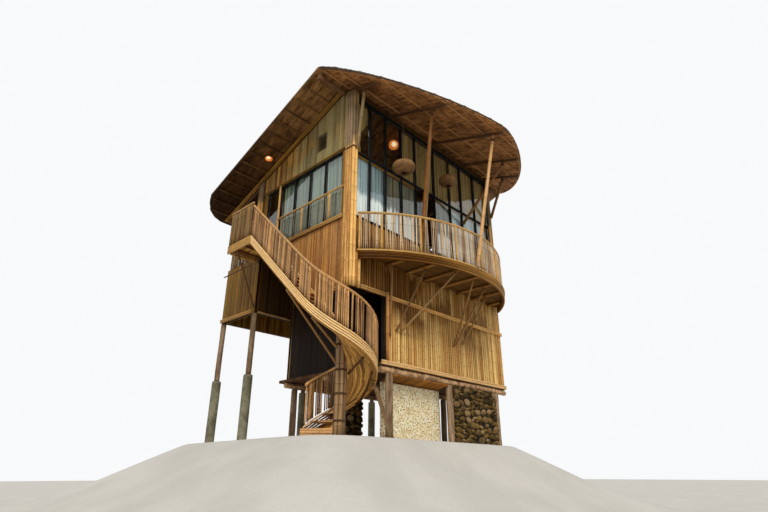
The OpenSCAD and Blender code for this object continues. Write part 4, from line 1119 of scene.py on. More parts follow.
class HOUSE_OT_roof(bpy.types.Operator):
    """Woven mat under the roof, half-culm tiles on it, dark strips along the eaves, and its poles"""
    bl_idname = "house.roof"
    bl_label = "Roof"

    def execute(self, context):
        rng = random.Random(13)
        mats = Batch()
        form = board(5)
        for name, y0, far in (("front", RIDGE_Y - 0.0004, front_edge), ("back", RIDGE_Y + 0.0004, back_edge)):
            edges = spread(-1.1, 8.6, 0.27, rng, breaks=[-0.2, 7.7], vary=0)
            for a, b in zip(edges, edges[1:]):
                # Strips on the back slope take the darker mat in slot 2, which is painted shade.
                self.layer(mats, form, a, b, y0, far, 0.0, 0.028, 0.0, 0 if name == "front" else 2)
                self.layer(mats, form, a, b, y0, far, 0.0285, 0.043, 0.03, 1)
        mats.make("roof_mat", ["Woven roof mat", "Roof edge", "Woven roof mat, back slope in painted shade"],
                  "roof_weave", "roof_front", "roof_back")
        tiles = Batch()
        form = half_culm()
        for y0, far in ((RIDGE_Y - 0.0004, front_edge), (RIDGE_Y + 0.0004, back_edge)):
            edges = spread(-1.09, 8.59, 0.088, rng, vary=0.1)
            for i, (a, b) in enumerate(zip(edges, edges[1:])):
                y1 = far(np.array([(a + b) / 2]))[0]
                n = max(1, int(abs(y1 - y0) / rng.uniform(1.1, 1.9)))
                stops = np.linspace(y0, y1, n + 1)
                stops[1:-1] += [rng.uniform(-0.25, 0.25) for _ in stops[1:-1]]
                for k in range(n):
                    edge = far if k == n - 1 else None
                    proud = PROUD if i % 5 == 2 else 0.0
                    self.tile(tiles, form, a, b, stops[k], stops[k + 1], edge, rng, proud)
        tiles.make("roof_tiles", "Roof tiles", "roof_weave", "roof_front", "roof_back")
        strips = Batch()
        front_line = [(x, eave_front(x) + 0.012) for x in np.linspace(-1.075, 8.575, 120)]
        r, bend, side = EAVE_ROUND - 0.014, EAVE_BACK - EAVE_ROUND, EAVE_MID + EAVE_A - EAVE_ROUND
        back_line = [(side + r, y) for y in np.linspace(RIDGE_Y + 0.01, bend, 24)]
        back_line += [(side + r * math.cos(t), bend + r * math.sin(t))
                      for t in np.linspace(0.05, math.pi / 2, 14)]
        back_line += [(x, bend + r) for x in np.linspace(7.3, 0.2, 24)]
        back_line += [(-r * math.sin(t), bend + r * math.cos(t))
                      for t in np.linspace(0.0, math.pi / 2 - 0.05, 14)]
        back_line += [(-r, y) for y in np.linspace(bend, RIDGE_Y + 0.01, 24)]
        for line in (front_line, back_line):
            for lift, r, high in ((0.016, 0.012, 1.5), (0.042, 0.011, 1.3)):
                path = [(x, y, float(roof_z(y)) + lift) for x, y in line]
                sweep(strips, culm(24, 6), path, r, rng, high=high, spin=0.0, tone=rng.uniform(0.3, 1))
        inner = [(x, eave_front(x) + 0.075) for x in np.linspace(-0.95, 8.45, 110)]
        path = [(x, y, float(roof_z(y)) - 0.014) for x, y in inner]
        sweep(strips, culm(22, 6), path, 0.013, rng, tone=0.1, slot=1)
        strips.make("eave_strips", ["Roof edge", "Batten culm"], "bamboo_poles")
        poles = Batch()
        rows = [RIDGE_Y - BATTEN_FIRST - i * BATTEN_STEP for i in range(7)]
        rows += [RIDGE_Y + BATTEN_FIRST + i * BATTEN_STEP for i in range(14)]
        # Battens on the back slope take the darker culm in slot 1, which is painted shade.
        for y in rows:
            z = float(under(y, BATTEN / 2 + SEAT))
            half = reach(y) - 0.07
            pole(poles, (EAVE_MID - half, y, z), (EAVE_MID + half, y, z), BATTEN / 2 * 0.97, rng, sides=6,
                 bow=0.0, internode=0.4, tone=rng.choice([0.1, 0.4, 0.9, 1.0]), slot=int(y > RIDGE_Y))
        poles.make("battens", ["Batten culm", "Batten culm, back slope in painted shade"], "bamboo_poles", "roof_battens")
        poles = Batch()
        for x in RAFTERS:
            for end in (eave_front(x) + 0.09, EAVE_BACK - 0.09 - (0.12 if x < 1.1 or x > 7.5 else 0)):
                self.rafter(poles, x, end, 0.045, rng, 0.85)
        for i in range(2):
            self.rafter(poles, -0.038 - 0.066 * i, EAVE_BACK - 0.21, 0.032, rng, 0.15, slot=1)
        poles.make("rafter_poles", ["Shaded culm", "Wing slats"], "bamboo_poles", "rafters")
        poles = Batch()
        z = RIDGE - (RAFTER_DEPTH + SEAT + 0.07) / BACK_COS
        pole(poles, (-1.04, RIDGE_Y, z), (8.39, RIDGE_Y, z), 0.068, rng, sides=12, bow=0.0)
        poles.make("ridge_pole", "Shaded culm", "dark_slats", "ridge_beam")
        return {"FINISHED"}

    def layer(self, batch, form, a, b, y0, far, lift, thick, inset, slot):
        """A strip of a roof layer from the ridge to the eave."""
        p = form.points
        x = (a + b) / 2 + p[:, 0] * (b - a)
        y1 = far(np.clip(x, -1.1 + inset, 8.6 - inset))
        y1 = y1 - np.sign(y1 - y0) * inset
        y = y0 + p[:, 2] * (y1 - y0)
        z = roof_z(y) + lift + (1 - p[:, 1]) * thick
        local = (p[:, 0] * 0.1, p[:, 1] * 0.02, np.abs(y - y0))
        batch.add(form, (x, y, z), local, 0.25, 0.5, slot)

    def tile(self, batch, form, a, b, y0, y1, far, rng, proud):
        """A half culm laid down the slope, its lower end over the next one, some a little proud."""
        p = form.points
        x = (a + b) / 2 + p[:, 0] * (b - a) * (0.56 + proud * 8)
        last = far(x) if far else y1
        y = y0 + p[:, 2] * (last - y0)
        z = roof_z(y) + 0.073 + p[:, 1] * (0.028 + proud) - p[:, 2] * 0.005 + rng.uniform(0, 0.004)
        local = (p[:, 0] * 0.045, p[:, 1] * 0.03, np.abs(y - y0) + rng.uniform(0, 50))
        batch.add(form, (x, y, z), local, np.abs(y) / 0.45 + rng.random(),
                  rng.random())

    def rafter(self, batch, x, end, r, rng, tone, slot=0):
        d = BATTEN_DEPTH + r
        c = BACK_COS if end > RIDGE_Y else FRONT_COS
        gap = 0.0002 if end > RIDGE_Y else -0.0002
        a = (x, RIDGE_Y + gap, RIDGE - d / c)
        pole(batch, a, (x, end, float(under(end, d))), r * 0.98, rng, bow=0.0, tone=tone, slot=slot)


class HOUSE_OT_poles(bpy.types.Operator):
    """Corner culms, paired trims, window rail and the long struts under the roof"""
    bl_idname = "house.poles"
    bl_label = "Culms, trims and struts"

    def execute(self, context):
        rng = random.Random(14)
        ties = Batch()
        off = CULM + SEAT
        pitch, first = 0.091, 0.062
        foot = SKIRT - 0.05
        top = float(under(-0.09, RAFTER_DEPTH + SEAT))
        batch = Batch()
        spots = [(-off / math.sqrt(2), -off / math.sqrt(2))]
        spots += [(-off, first + i * pitch) for i in range(3)]
        spots += [(first, -off)]
        low_spots = [(first + i * pitch, -off) for i in (1, 2)]
        for x, y in spots + low_spots:
            end = DECK_LOW if (x, y) in low_spots else top
            pole(batch, (x, y, foot), (x, y, end), CULM * 0.91, rng, sides=10, bow=0.0004,
                 tone=rng.choice((0.0, 0.15, 0.6, 1.0)))
        for i in range(2):
            x = WIDE - first - i * pitch
            pole(batch, (x, -off, DECK + SEAT), (x, -off, top), CULM * 0.97, rng, sides=10, bow=0.0004)
        for i in range(3):
            y = LAND_END + CULM + 0.02 + i * pitch
            pole(batch, (-off, y, FLOOR - 0.06), (-off, y, float(under(y + CULM, RAFTER_DEPTH + SEAT))),
                 CULM * 0.97, rng, sides=10, bow=0.0004, tone=rng.uniform(0.2, 0.9))
        pole(batch, (-0.0323, 3.33, FLOOR + SEAT), (-0.0323, 3.33, HEAD), 0.031, rng)
        pole(batch, (LOWER_X - 0.045, -off, LOWER + 0.06), (LOWER_X - 0.045, -off, SKIRT + 0.08),
             CULM * 0.97, rng, sides=10)
        batch.make("corner_culms", "Corner culm", "bamboo_poles", "culm_posts")
        for x, y in spots:
            tie(ties, (x, y, 7.56), (0, 0, 1), CULM, rng)
        batch = Batch()
        t = TRIM
        pair = lambda a, b, slot=0: self.pair(batch, a, b, rng, slot)
        pair((LOWER_X + SEAT, -t - SEAT, SKIRT), (WIDE, -t - SEAT, SKIRT), 2)
        pair((0.335, -t - SEAT, SKIRT + 0.04), (LOWER_X - PAIR_OUT, -t - SEAT, SKIRT + 0.04))
        pair((LOWER_X - 0.24, -t - SEAT, LOWER + 0.02), (WIDE, -t - SEAT, LOWER + 0.02), 3)
        on = lambda z: z + 0.09 + SEAT
        pair((-t - SEAT, 0.335, on(FLOOR)), (-t - SEAT, 3.2977, on(FLOOR)))
        pair((-t - SEAT, 0.335, SKIRT), (-t - SEAT, 1.7, SKIRT))
        pair((-t - SEAT, LAND_END + 0.06, on(WING)), (-t - SEAT, DEEP, on(WING)))
        z = HEAD + 2 * SEAT + t
        pole(batch, (-t - SEAT, 0.335, z), (-t - SEAT, LAND_END, z), t * 0.97, rng, tone=0.6, slot=1)
        z = WING + t
        pole(batch, (0.125, LOWER_D - t - SEAT, z), (LOWER_X - 0.005, LOWER_D - t - SEAT, z), t * 0.97, rng)
        batch.make("edge_trims", ["Golden culm", "Wing slats", "Corner culm", "String culm"], "bamboo_poles",
                   "trim_poles")
        batch = Batch()
        x = -0.0353
        z0, z1 = on(FLOOR) + t + SEAT, FLOOR + 0.96
        pole(batch, (x, 0.335, z1), (x, 3.2977, z1), 0.034, rng, tone=0.1)
        y = 0.395
        while y <= 3.22:
            lean = rng.uniform(-0.015, 0.015)
            pole(batch, (x, y + lean, z0), (x, y, z1), 0.011, rng, sides=6, bow=0.01, slot=1)
            if rng.random() < 0.9:
                pole(batch, (x, y + 0.075 + lean, z0), (x, y + 0.07, z1), 0.009, rng, sides=6,
                     bow=0.02, slot=1)
            y += 0.15
        for y in (0.9, 2.12):
            pole(batch, (x, y, z0), (x, y, z1 - 0.034), 0.03, rng, tone=0.1)
        batch.make("window_railing", ["Golden culm", "Window stick"], "bamboo_poles", "window_rail")
        batch = Batch()
        bars = 5.14
        rail_out = -(BAL_CY - math.sqrt((RAIL_R + 0.091) ** 2 - (3.25 - BAL_X) ** 2))
        struts = [((first, -PAIR_OUT, TRANSOM), RAFTERS[0], -0.33, 0.3, 3),
                  ((1.65, -0.925, DECK), RAFTERS[1], -1.45, 0.2, 2),
                  ((3.25, -rail_out, DECK), RAFTERS[2], -2.24, 0.1, 0),
                  ((bars, 0.02, TRANSOM - 0.45), RAFTERS[3], -1.55, 0.7, 1),
                  ((WIDE - first, -PAIR_OUT, TRANSOM + 0.38), RAFTERS[4], -0.73, 0.7, 1)]
        for foot, x, y, tone, slot in struts:
            end = (x, y, float(under(y, RAFTER_DEPTH)))
            pole(batch, foot, end, 0.052, rng, sides=12, bow=0.002, internode=0.5, tone=tone, slot=slot,
                 taper=0.12)
            d = np.array(end) - np.array(foot)
            tie(ties, np.array(end) - d * 0.04, d, 0.05, rng, turns=7)
        a = np.array((1.74, -0.95, DECK))
        b = np.array((1.79, -1.42, float(under(-1.42, RAFTER_DEPTH)) + 0.02))
        pole(batch, a, b, 0.017, rng, slot=3, bow=0.006, tone=0.0)
        batch.make("struts", ["Beige strut", "Brown culm", "Middle strut", "Tan strut"], "bamboo_poles",
                   "roof_struts")
        ties.make("rope_ties", "Rope", "dark_slats")
        return {"FINISHED"}

    def pair(self, batch, a, b, rng, slot):
        drop = np.array([0, 0, 0.058])
        pole(batch, a, b, TRIM * 0.96, rng, bow=0.0003, tone=rng.uniform(0, 0.5), slot=slot)
        pole(batch, np.array(a) - drop, np.array(b) - drop, TRIM * 0.9, rng, bow=0.0003,
             tone=rng.uniform(0, 0.7), slot=slot)


def arc(radius, z, a0, a1, n=60):
    """Points on the balcony's curve, from one angle to another off the straight-out direction."""
    return [(BAL_X + radius * math.sin(t), BAL_CY - radius * math.cos(t), z)
            for t in np.linspace(a0, a1, n)]


class HOUSE_OT_balcony(bpy.types.Operator):
    """The round balcony: deck boards, bent edge, joists, railing and props"""
    bl_idname = "house.balcony"
    bl_label = "Balcony"

    def execute(self, context):
        rng = random.Random(15)
        batch = Batch()
        form = board(6)
        p = form.points
        edges = spread(-1.615, -0.0005, 0.085, rng, vary=0.1)
        for a, b in zip(edges, edges[1:]):
            y = (a + b) / 2 + p[:, 0] * (b - a - 0.006)
            half = np.sqrt(np.maximum(0, (BAL_R - 0.012) ** 2 - (BAL_CY - y) ** 2))
            x0, x1 = BAL_X - half, BAL_X + half
            if b > -0.0906:
                x0, x1 = np.maximum(x0, 0.1073), np.minimum(x1, 6.7017)
            x = x0 + p[:, 2] * (x1 - x0)
            z = DECK - 0.006 - p[:, 1] * 0.046 - rng.uniform(0, 0.003)
            shift = rng.uniform(0, 50)
            local = (y - (a + b) / 2, p[:, 1] * 0.046, x + shift)
            batch.add(form, (x, y, z), local, x / 0.5 + shift, rng.random())
        end = math.acos((BAL_CY + 0.1) / BAL_R)
        sweep(batch, culm(26, 8), arc(BAL_R - 0.026, DECK - 0.028, -end, end), 0.027, rng, tone=0.05, slot=1)
        batch.make("deck_boards", ["Deck boards", "Golden culm"], "bamboo_slats", "balcony_deck")
        batch = Batch()
        end = math.acos((BAL_CY + 0.1) / (BAL_R - 0.04))
        for i, look in enumerate((0.1, 0.95, 0.7, 1.0, 0.25)):
            z = DECK_LOW - 0.02 - i * 0.04
            sweep(batch, culm(22 + i, 6), arc(BAL_R - 0.038, z, -end, end), 0.019, rng, high=1.05,
                  tone=look)
            sweep(batch, culm(24 - i, 6), arc(BAL_R - 0.084, z, -end, end), 0.017, rng, high=1.15, tone=0.9)
        batch.make("deck_edge", "Bent edge", "bamboo_slats", "balcony_edge")
        batch = Batch()
        for x in (0.52, 1.3, 2.1, 2.9, 3.7, 4.5, 5.3, 6.2):
            z = DECK_LOW - 0.045
            y = BAL_CY - math.sqrt((BAL_R - 0.1) ** 2 - (abs(x - BAL_X) + 0.045) ** 2)
            pole(batch, (x, -SEAT, z), (x, y, z), 0.044, rng, bow=0.0, sides=10)
        batch.make("deck_joists", "Joist culm", "bamboo_poles", "balcony_joists")
        batch = Batch()
        left, end = math.acos((BAL_CY + 0.045) / RAIL_R), math.acos((BAL_CY + 0.125) / RAIL_R)
        sweep(batch, culm(24, 10), arc(RAIL_R, DECK + 1.065, -left, end, 90), 0.034, rng, tone=0.1)
        batch.make("deck_handrail", "Golden culm", "bamboo_poles", "balcony_handrail")
        batch = Batch()
        posts = [-48.2, -40.6, -26.7, -11.7, 2.6, 16.7, 30.8, 47.1]
        n = int((left + end) * RAIL_R / 0.105)
        h0, h1 = DECK + SEAT, DECK + 1.03
        for deg in posts:
            t = math.radians(deg)
            x, y = BAL_X + RAIL_R * math.sin(t), BAL_CY - RAIL_R * math.cos(t)
            pole(batch, (x, y, h0), (x, y, h1), 0.034, rng, sides=10, tone=0.1)
        for i in range(1, 2 * n):
            t = -left + (left + end) * i / (2 * n)
            if min(abs(t - math.radians(d)) for d in posts) * RAIL_R < 0.05:
                continue
            if i % 2 and rng.random() < 0.3:
                continue
            lean = rng.uniform(-0.035, 0.035) / RAIL_R
            t2 = max(-left, min(end, t + lean))
            a = (BAL_X + RAIL_R * math.sin(t), BAL_CY - RAIL_R * math.cos(t), h0)
            b = (BAL_X + RAIL_R * math.sin(t2), BAL_CY - RAIL_R * math.cos(t2), h1)
            pole(batch, a, b, rng.uniform(0.009, 0.017), rng, sides=6, bow=0.018, internode=0.5, slot=1)
        batch.make("deck_railing", ["Golden culm", "Grey stick"], "bamboo_poles", "balcony_balusters")
        batch = Batch()
        props = [(1.66, 2.66, 2.1, 0.71), (1.81, 2.64, 2.9, 1.15), (4.18, 2.67, 3.7, 1.17),
                 (4.26, 2.71, 4.5, 1.03), (4.63, 2.81, 5.3, 0.55)]
        z = DECK_LOW - 0.09
        for fx, fz, jx, out in props:
            pole(batch, (fx, -0.02, fz), (jx, -out, z), 0.029, rng, bow=0.003, tone=rng.uniform(0.2, 1))
        pole(batch, (1.42, -0.02, 2.48), (1.3, -0.22, z), 0.033, rng, bow=0.002, tone=0.6)
        batch.make("deck_props", "Prop culm", "bamboo_poles", "balcony_props")
        return {"FINISHED"}


class HOUSE_OT_landing(bpy.types.Operator):
    """The landing at the side door and the railings of landing and terrace"""
    bl_idname = "house.landing"
    bl_label = "Landing"

    def execute(self, context):
        rng = random.Random(16)
        batch = Batch()
        x0 = -LAND_W + 2 * STRING - 0.008
        tan = math.tan(math.radians(LEAN))
        front = lambda x: LAND_Y + (x + LAND_W + 0.01) * tan + SEAT
        form = board(1)
        p = form.points
        edges = spread(x0, -SEAT, 0.09, rng, vary=0.1)
        for a, b in zip(edges, edges[1:]):
            x = (a + b) / 2 + p[:, 0] * (b - a - 0.005)
            y0 = front(x)
            y = y0 + p[:, 2] * (LAND_END - y0)
            z = FLOOR - p[:, 1] * 0.045
            shift = rng.uniform(0, 50)
            local = (p[:, 0] * 0.09, p[:, 1] * 0.045, y + shift)
            batch.add(form, (x, y, z), local, y / 0.5 + shift, rng.random())
        for y in (LAND_Y + 0.17, (LAND_Y + LAND_END) / 2 + 0.02, LAND_END - 0.12):
            pole(batch, (-LAND_W + STRING, y, FLOOR - 0.09), (-SEAT, y, FLOOR - 0.09), 0.039, rng,
                 bow=0, slot=1)
        out = -LAND_W + STRING
        for i in range(4):
            z = FLOOR - STRING - i * STRING_PITCH
            pole(batch, (out, front(out + STRING), z), (out, LAND_END, z), 0.033, rng, bow=0, slot=2,
                 tone=rng.uniform(0, 0.6))
            pole(batch, (out + 0.07, LAND_END - 0.033, z), (-0.002, LAND_END - 0.033, z), 0.031, rng, bow=0,
                 slot=2, tone=rng.uniform(0, 0.6))
        low = FLOOR - 2 * STRING - 3 * STRING_PITCH
        pole(batch, (-0.01, LOWER_D + 0.03, WING + 0.17), (out, 3.75, low), 0.026, rng, slot=1, tone=0.9)
        pole(batch, (-0.70, 4.95, 4.79), (-0.70, 3.1, 4.81), 0.018, rng, slot=1, tone=0.9, bow=0.004)
        batch.make("landing_deck", ["Soffit slats", "Shaded culm", "Golden culm"], "bamboo_poles", "landing")
        batch = Batch()
        z = FLOOR + SEAT
        self.rails(batch, (out, LAND_Y + 0.06), (out, LAND_END), z, 0.052, rng)
        self.rails(batch, (out + 0.075, LAND_END - 0.04), (-0.03, LAND_END - 0.04), z, 0.052, rng)
        self.rails(batch, (WALL / 2, ROOM + 0.02), (WALL / 2, DEEP - 0.02), z, 0.1, rng)
        self.rails(batch, (0.13, DEEP - 0.06), (WIDE - 0.13, DEEP - 0.06), z, 0.1, rng)
        self.rails(batch, (WIDE - WALL / 2, ROOM + 0.02), (WIDE - WALL / 2, DEEP - 0.02), z, 0.1, rng)
        batch.make("landing_railing", ["Landing culm", "Rail culm"], "bamboo_poles", "landing_rail")
        return {"FINISHED"}

    def rails(self, batch, a, b, z, step, rng):
        a, b = np.array(a), np.array(b)
        length = float(np.linalg.norm(b - a))
        top = z + 1.1
        pole(batch, (*a, top - 0.035), (*b, top - 0.035), 0.034, rng, bow=0.0005, tone=0.2, slot=1)
        n = int(length / step) + 1
        for i in range(n):
            t = (i + 0.5) / n
            p = a + (b - a) * t
            q = p + (b - a) / length * rng.uniform(-0.01, 0.01)
            pole(batch, (*p, z), (*q, top - 0.05), rng.uniform(0.019, 0.026), rng, sides=6, bow=0.003)


class HOUSE_OT_stair(bpy.types.Operator):
    """The winding stair: treads, strings, slatted soffit, railing and its bundled post"""
    bl_idname = "house.stair"
    bl_label = "Stair"

    def execute(self, context):
        rng = random.Random(17)
        batch = Batch()
        for i in range(4):
            sweep(batch, culm(26 - i, 8), stair_path(STRING, lambda z: string_h(z, i)), 0.0215, rng,
                  tone=rng.uniform(0, 0.3))
            if i:
                # A fully dark culm behind the gap between two string poles: painted shade.
                line = stair_path(STRING + 0.012, lambda z: string_h(z, i - 0.5))
                sweep(batch, culm(2, 4), line, 0.018, rng, tone=1, slot=1)
        inner = [z for z in GRID if z > INNER_END]
        for i in range(4):
            line = [(*inset(z, stair_width(z) - 0.026), z + string_h(z, i)) for z in inner]
            sweep(batch, culm(12 - i, 6), line, 0.025, rng, high=1.2, tone=rng.uniform(0.3, 1))
        batch.make("string_poles", ["String culm", "Shaded culm"], "bamboo_poles", "stair_strings")
        batch = Batch()
        form = strip(2)
        for i in range(1, 27):
            z = FLOOR - i * RISE
            self.tread(batch, form, z + RISE, z, z, 0.045, 0.066, rng)
        self.tread(batch, form, GRID[-1] - SEAT, RISE, RISE, 0.045, 0.0, rng)
        for k in range(3):
            self.tread(batch, form, GRID[-1] - SEAT, RISE, RISE - 0.05 - k * 0.05, 0.045, 0.0, rng)
        batch.make("tread_slats", "Rail culm", "dark_slats", "stair_treads")
        self.soffit(rng)
        batch = Batch()
        sweep(batch, culm(27, 10), stair_path(STRING, 0.93), 0.034, rng, tone=0.25)
        batch.make("stair_rail", "Rail culm", "bamboo_poles", "stair_handrail")
        batch = Batch()
        total = float(np.interp(-GRID[-1], -LINE[:, 0], LINE[:, 4])) - 0.06
        n = int(total / 0.05)
        for i in range(1, n + 1):
            s = i * total / n
            z = float(np.interp(s, LINE[:, 4], LINE[:, 0]))
            if s > 1.8 and rng.random() < 0.12:
                continue
            p = inset(z, STRING)
            lift = 0.018 * slope_at(s) + SEAT
            top = 0.93 - OCTAGON * tall(z, 0.035)
            lean = rng.uniform(-0.012, 0.012)
            q = p + np.array([math.cos(on_line(z, 3)), math.sin(on_line(z, 3))]) * lean
            thick = rng.uniform(0.017, 0.025)
            pole(batch, (*p, z + lift), (*q, z + top), thick, rng, sides=6, bow=0.004, internode=0.28)
        batch.make("stair_railing", "Rail culm", "bamboo_poles", "stair_balusters")
        self.post(rng)
        return {"FINISHED"}

    def tread(self, batch, form, za, zb, z, thick, outer, rng):
        """Four slats side by side from the outer string to the inner edge."""
        p = form.points
        inner = lambda q: stair_width(q) - (0.0503 if q > INNER_END else 0)
        parts = 4
        for k in range(parts):
            h0 = za + (zb - za) * k / parts
            h1 = za + (zb - za) * (k + 0.94) / parts
            a0, a1 = inset(h0, outer), inset(h1, outer)
            b0, b1 = inset(h0, inner(h0)), inset(h1, inner(h1))
            u = (p[:, 0] + 0.5)[:, None]
            w = p[:, 2][:, None]
            flat = (a0 * (1 - u) + a1 * u) * (1 - w) + (b0 * (1 - u) + b1 * u) * w
            points = np.column_stack([flat, z - p[:, 1] * thick])
            local = (p[:, 0] * 0.06, p[:, 1] * thick, p[:, 2] * 0.8 + rng.uniform(0, 50))
            batch.add(form, points, local, p[:, 2] * 2.3 + rng.random(), rng.random())

    def soffit(self, rng):
        """Slats along the stair's underside, with dark poles tied under them."""
        batch = Batch()
        form = strip(14)
        p = form.points
        s_end = float(np.interp(-GRID[-1], -LINE[:, 0], LINE[:, 4]))
        rows = 16
        for k in range(rows):
            s = 0.0
            while s < s_end - 0.02:
                s1 = s + rng.uniform(0.5, 1.1)
                if s1 > s_end - 0.3:
                    s1 = s_end
                z = np.interp(s + p[:, 2] * (s1 - s - 0.004), LINE[:, 4], LINE[:, 0])
                part = (k + 0.5 + p[:, 0] * rng.uniform(0.8, 0.94)) / rows
                points = []
                for j, q in enumerate(z):
                    q = float(q)
                    xy = inset(q, STRING / 2 + part[j] * (stair_width(q) - STRING / 2))
                    low = string_low(q) - SEAT - 0.005 * bend_at(on_line(q, 4)) * 0.9 - 0.018
                    points.append((xy[0], xy[1], q + low + p[j, 1] * 0.016))
                local = (p[:, 0] * 0.05, p[:, 1] * 0.016, p[:, 2] * (s1 - s) + rng.uniform(0, 50))
                batch.add(form, np.array(points), local, p[:, 2] * (s1 - s) / 0.33 + rng.random(),
                          rng.random())
                s = s1
        batch.make("soffit_slats", "Soffit slats", "bamboo_slats", "stair_soffit")
        batch = Batch()
        ties = Batch()
        for r, rib in ((0.026, [(2.01, 0.16), (1.89, 0.49), (1.73, 0.71)]),
                       (0.024, [(1.74, 0.14), (1.57, 0.21), (1.33, 0.19), (1.23, 0.14), (1.11, 0.1)]),
                       (0.011, [(1.95, 0.3), (1.71, 0.32)]), (0.011, [(1.6, 0.2), (1.57, 0.05)]),
                       (0.024, [(0.9, 0.1), (0.62, 0.5)]), (0.024, [(3.3, 0.1), (3.1, 0.72)])):
            line = []
            for t in np.linspace(0, len(rib) - 1, 4 * len(rib)):
                z, d = (float(np.interp(t, range(len(rib)), [row[i] for row in rib])) for i in (0, 1))
                q = inset(z, d)
                line.append((q[0], q[1], z + string_low(z) - 0.024 - r))
            sweep(batch, culm(3, 8), line, r, rng, tone=1.0)
            if r > 0.02:
                for i in (0, -1):
                    away = np.array(line[i + 1 if i == 0 else -2]) - np.array(line[i])
                    tie(ties, np.array(line[i]) + away * 0.3, away, r, rng)
        batch.make("soffit_ribs", "Shaded culm", "bamboo_poles")
        ties.make("soffit_ties", "Rope", "dark_slats")

    def post(self, rng):
        batch = Batch()
        ties = Batch()
        pole(batch, (*POST, 0), (*POST, TURN_Z), 0.048, rng, sides=10, bow=0)
        ring = [POST + 0.098 * np.array([math.cos(a), math.sin(a)])
                for a in np.radians(range(0, 360, 60))]
        for k, q in enumerate(ring):
            pole(batch, (*q, 0), (*q, TURN_Z - 0.04 - 0.06 * k / 3), 0.049, rng, sides=10, bow=0.0006)
        for z in (0.35, 0.95, 1.5, 2.1):
            for q in ring:
                tie(ties, (*q, z), (0, 0, 1), 0.05, rng)
        for top_z, foot_z in ((3.85, 1.5), (2.95, 1.9)):
            q = inset(top_z, STRING + 0.03)
            z = top_z + string_low(top_z) - 0.018 - 0.044 * slope_at(on_line(top_z, 4)) - 0.004
            pole(batch, (*POST, foot_z), (*q, z), 0.029, rng, slot=1, tone=0.4)
        q = inset(1.53, STRING + 0.06)
        z = 1.53 + string_low(1.53) - 0.018 - 0.036 * slope_at(on_line(1.53, 4)) - 0.0067
        top = np.array([q[0], q[1], z])
        foot = np.array([1.29, -0.15, 0])
        beside = 0.0663 / math.sqrt(1 - float(unit(top - foot)[0]) ** 2)
        for i in range(2):
            shift = np.array([i * beside, 0, 0])
            pole(batch, foot + shift, foot + (top - foot) * (1 - 0.06 * i) + shift, 0.032, rng, slot=2,
                 tone=rng.uniform(0.3, 0.9))
        batch.make("bundle_post", ["Stair post culm", "Brown culm", "Stair post culm"], "bamboo_poles",
                   "stair_post")
        ties.make("post_ties", "Rope", "dark_slats")


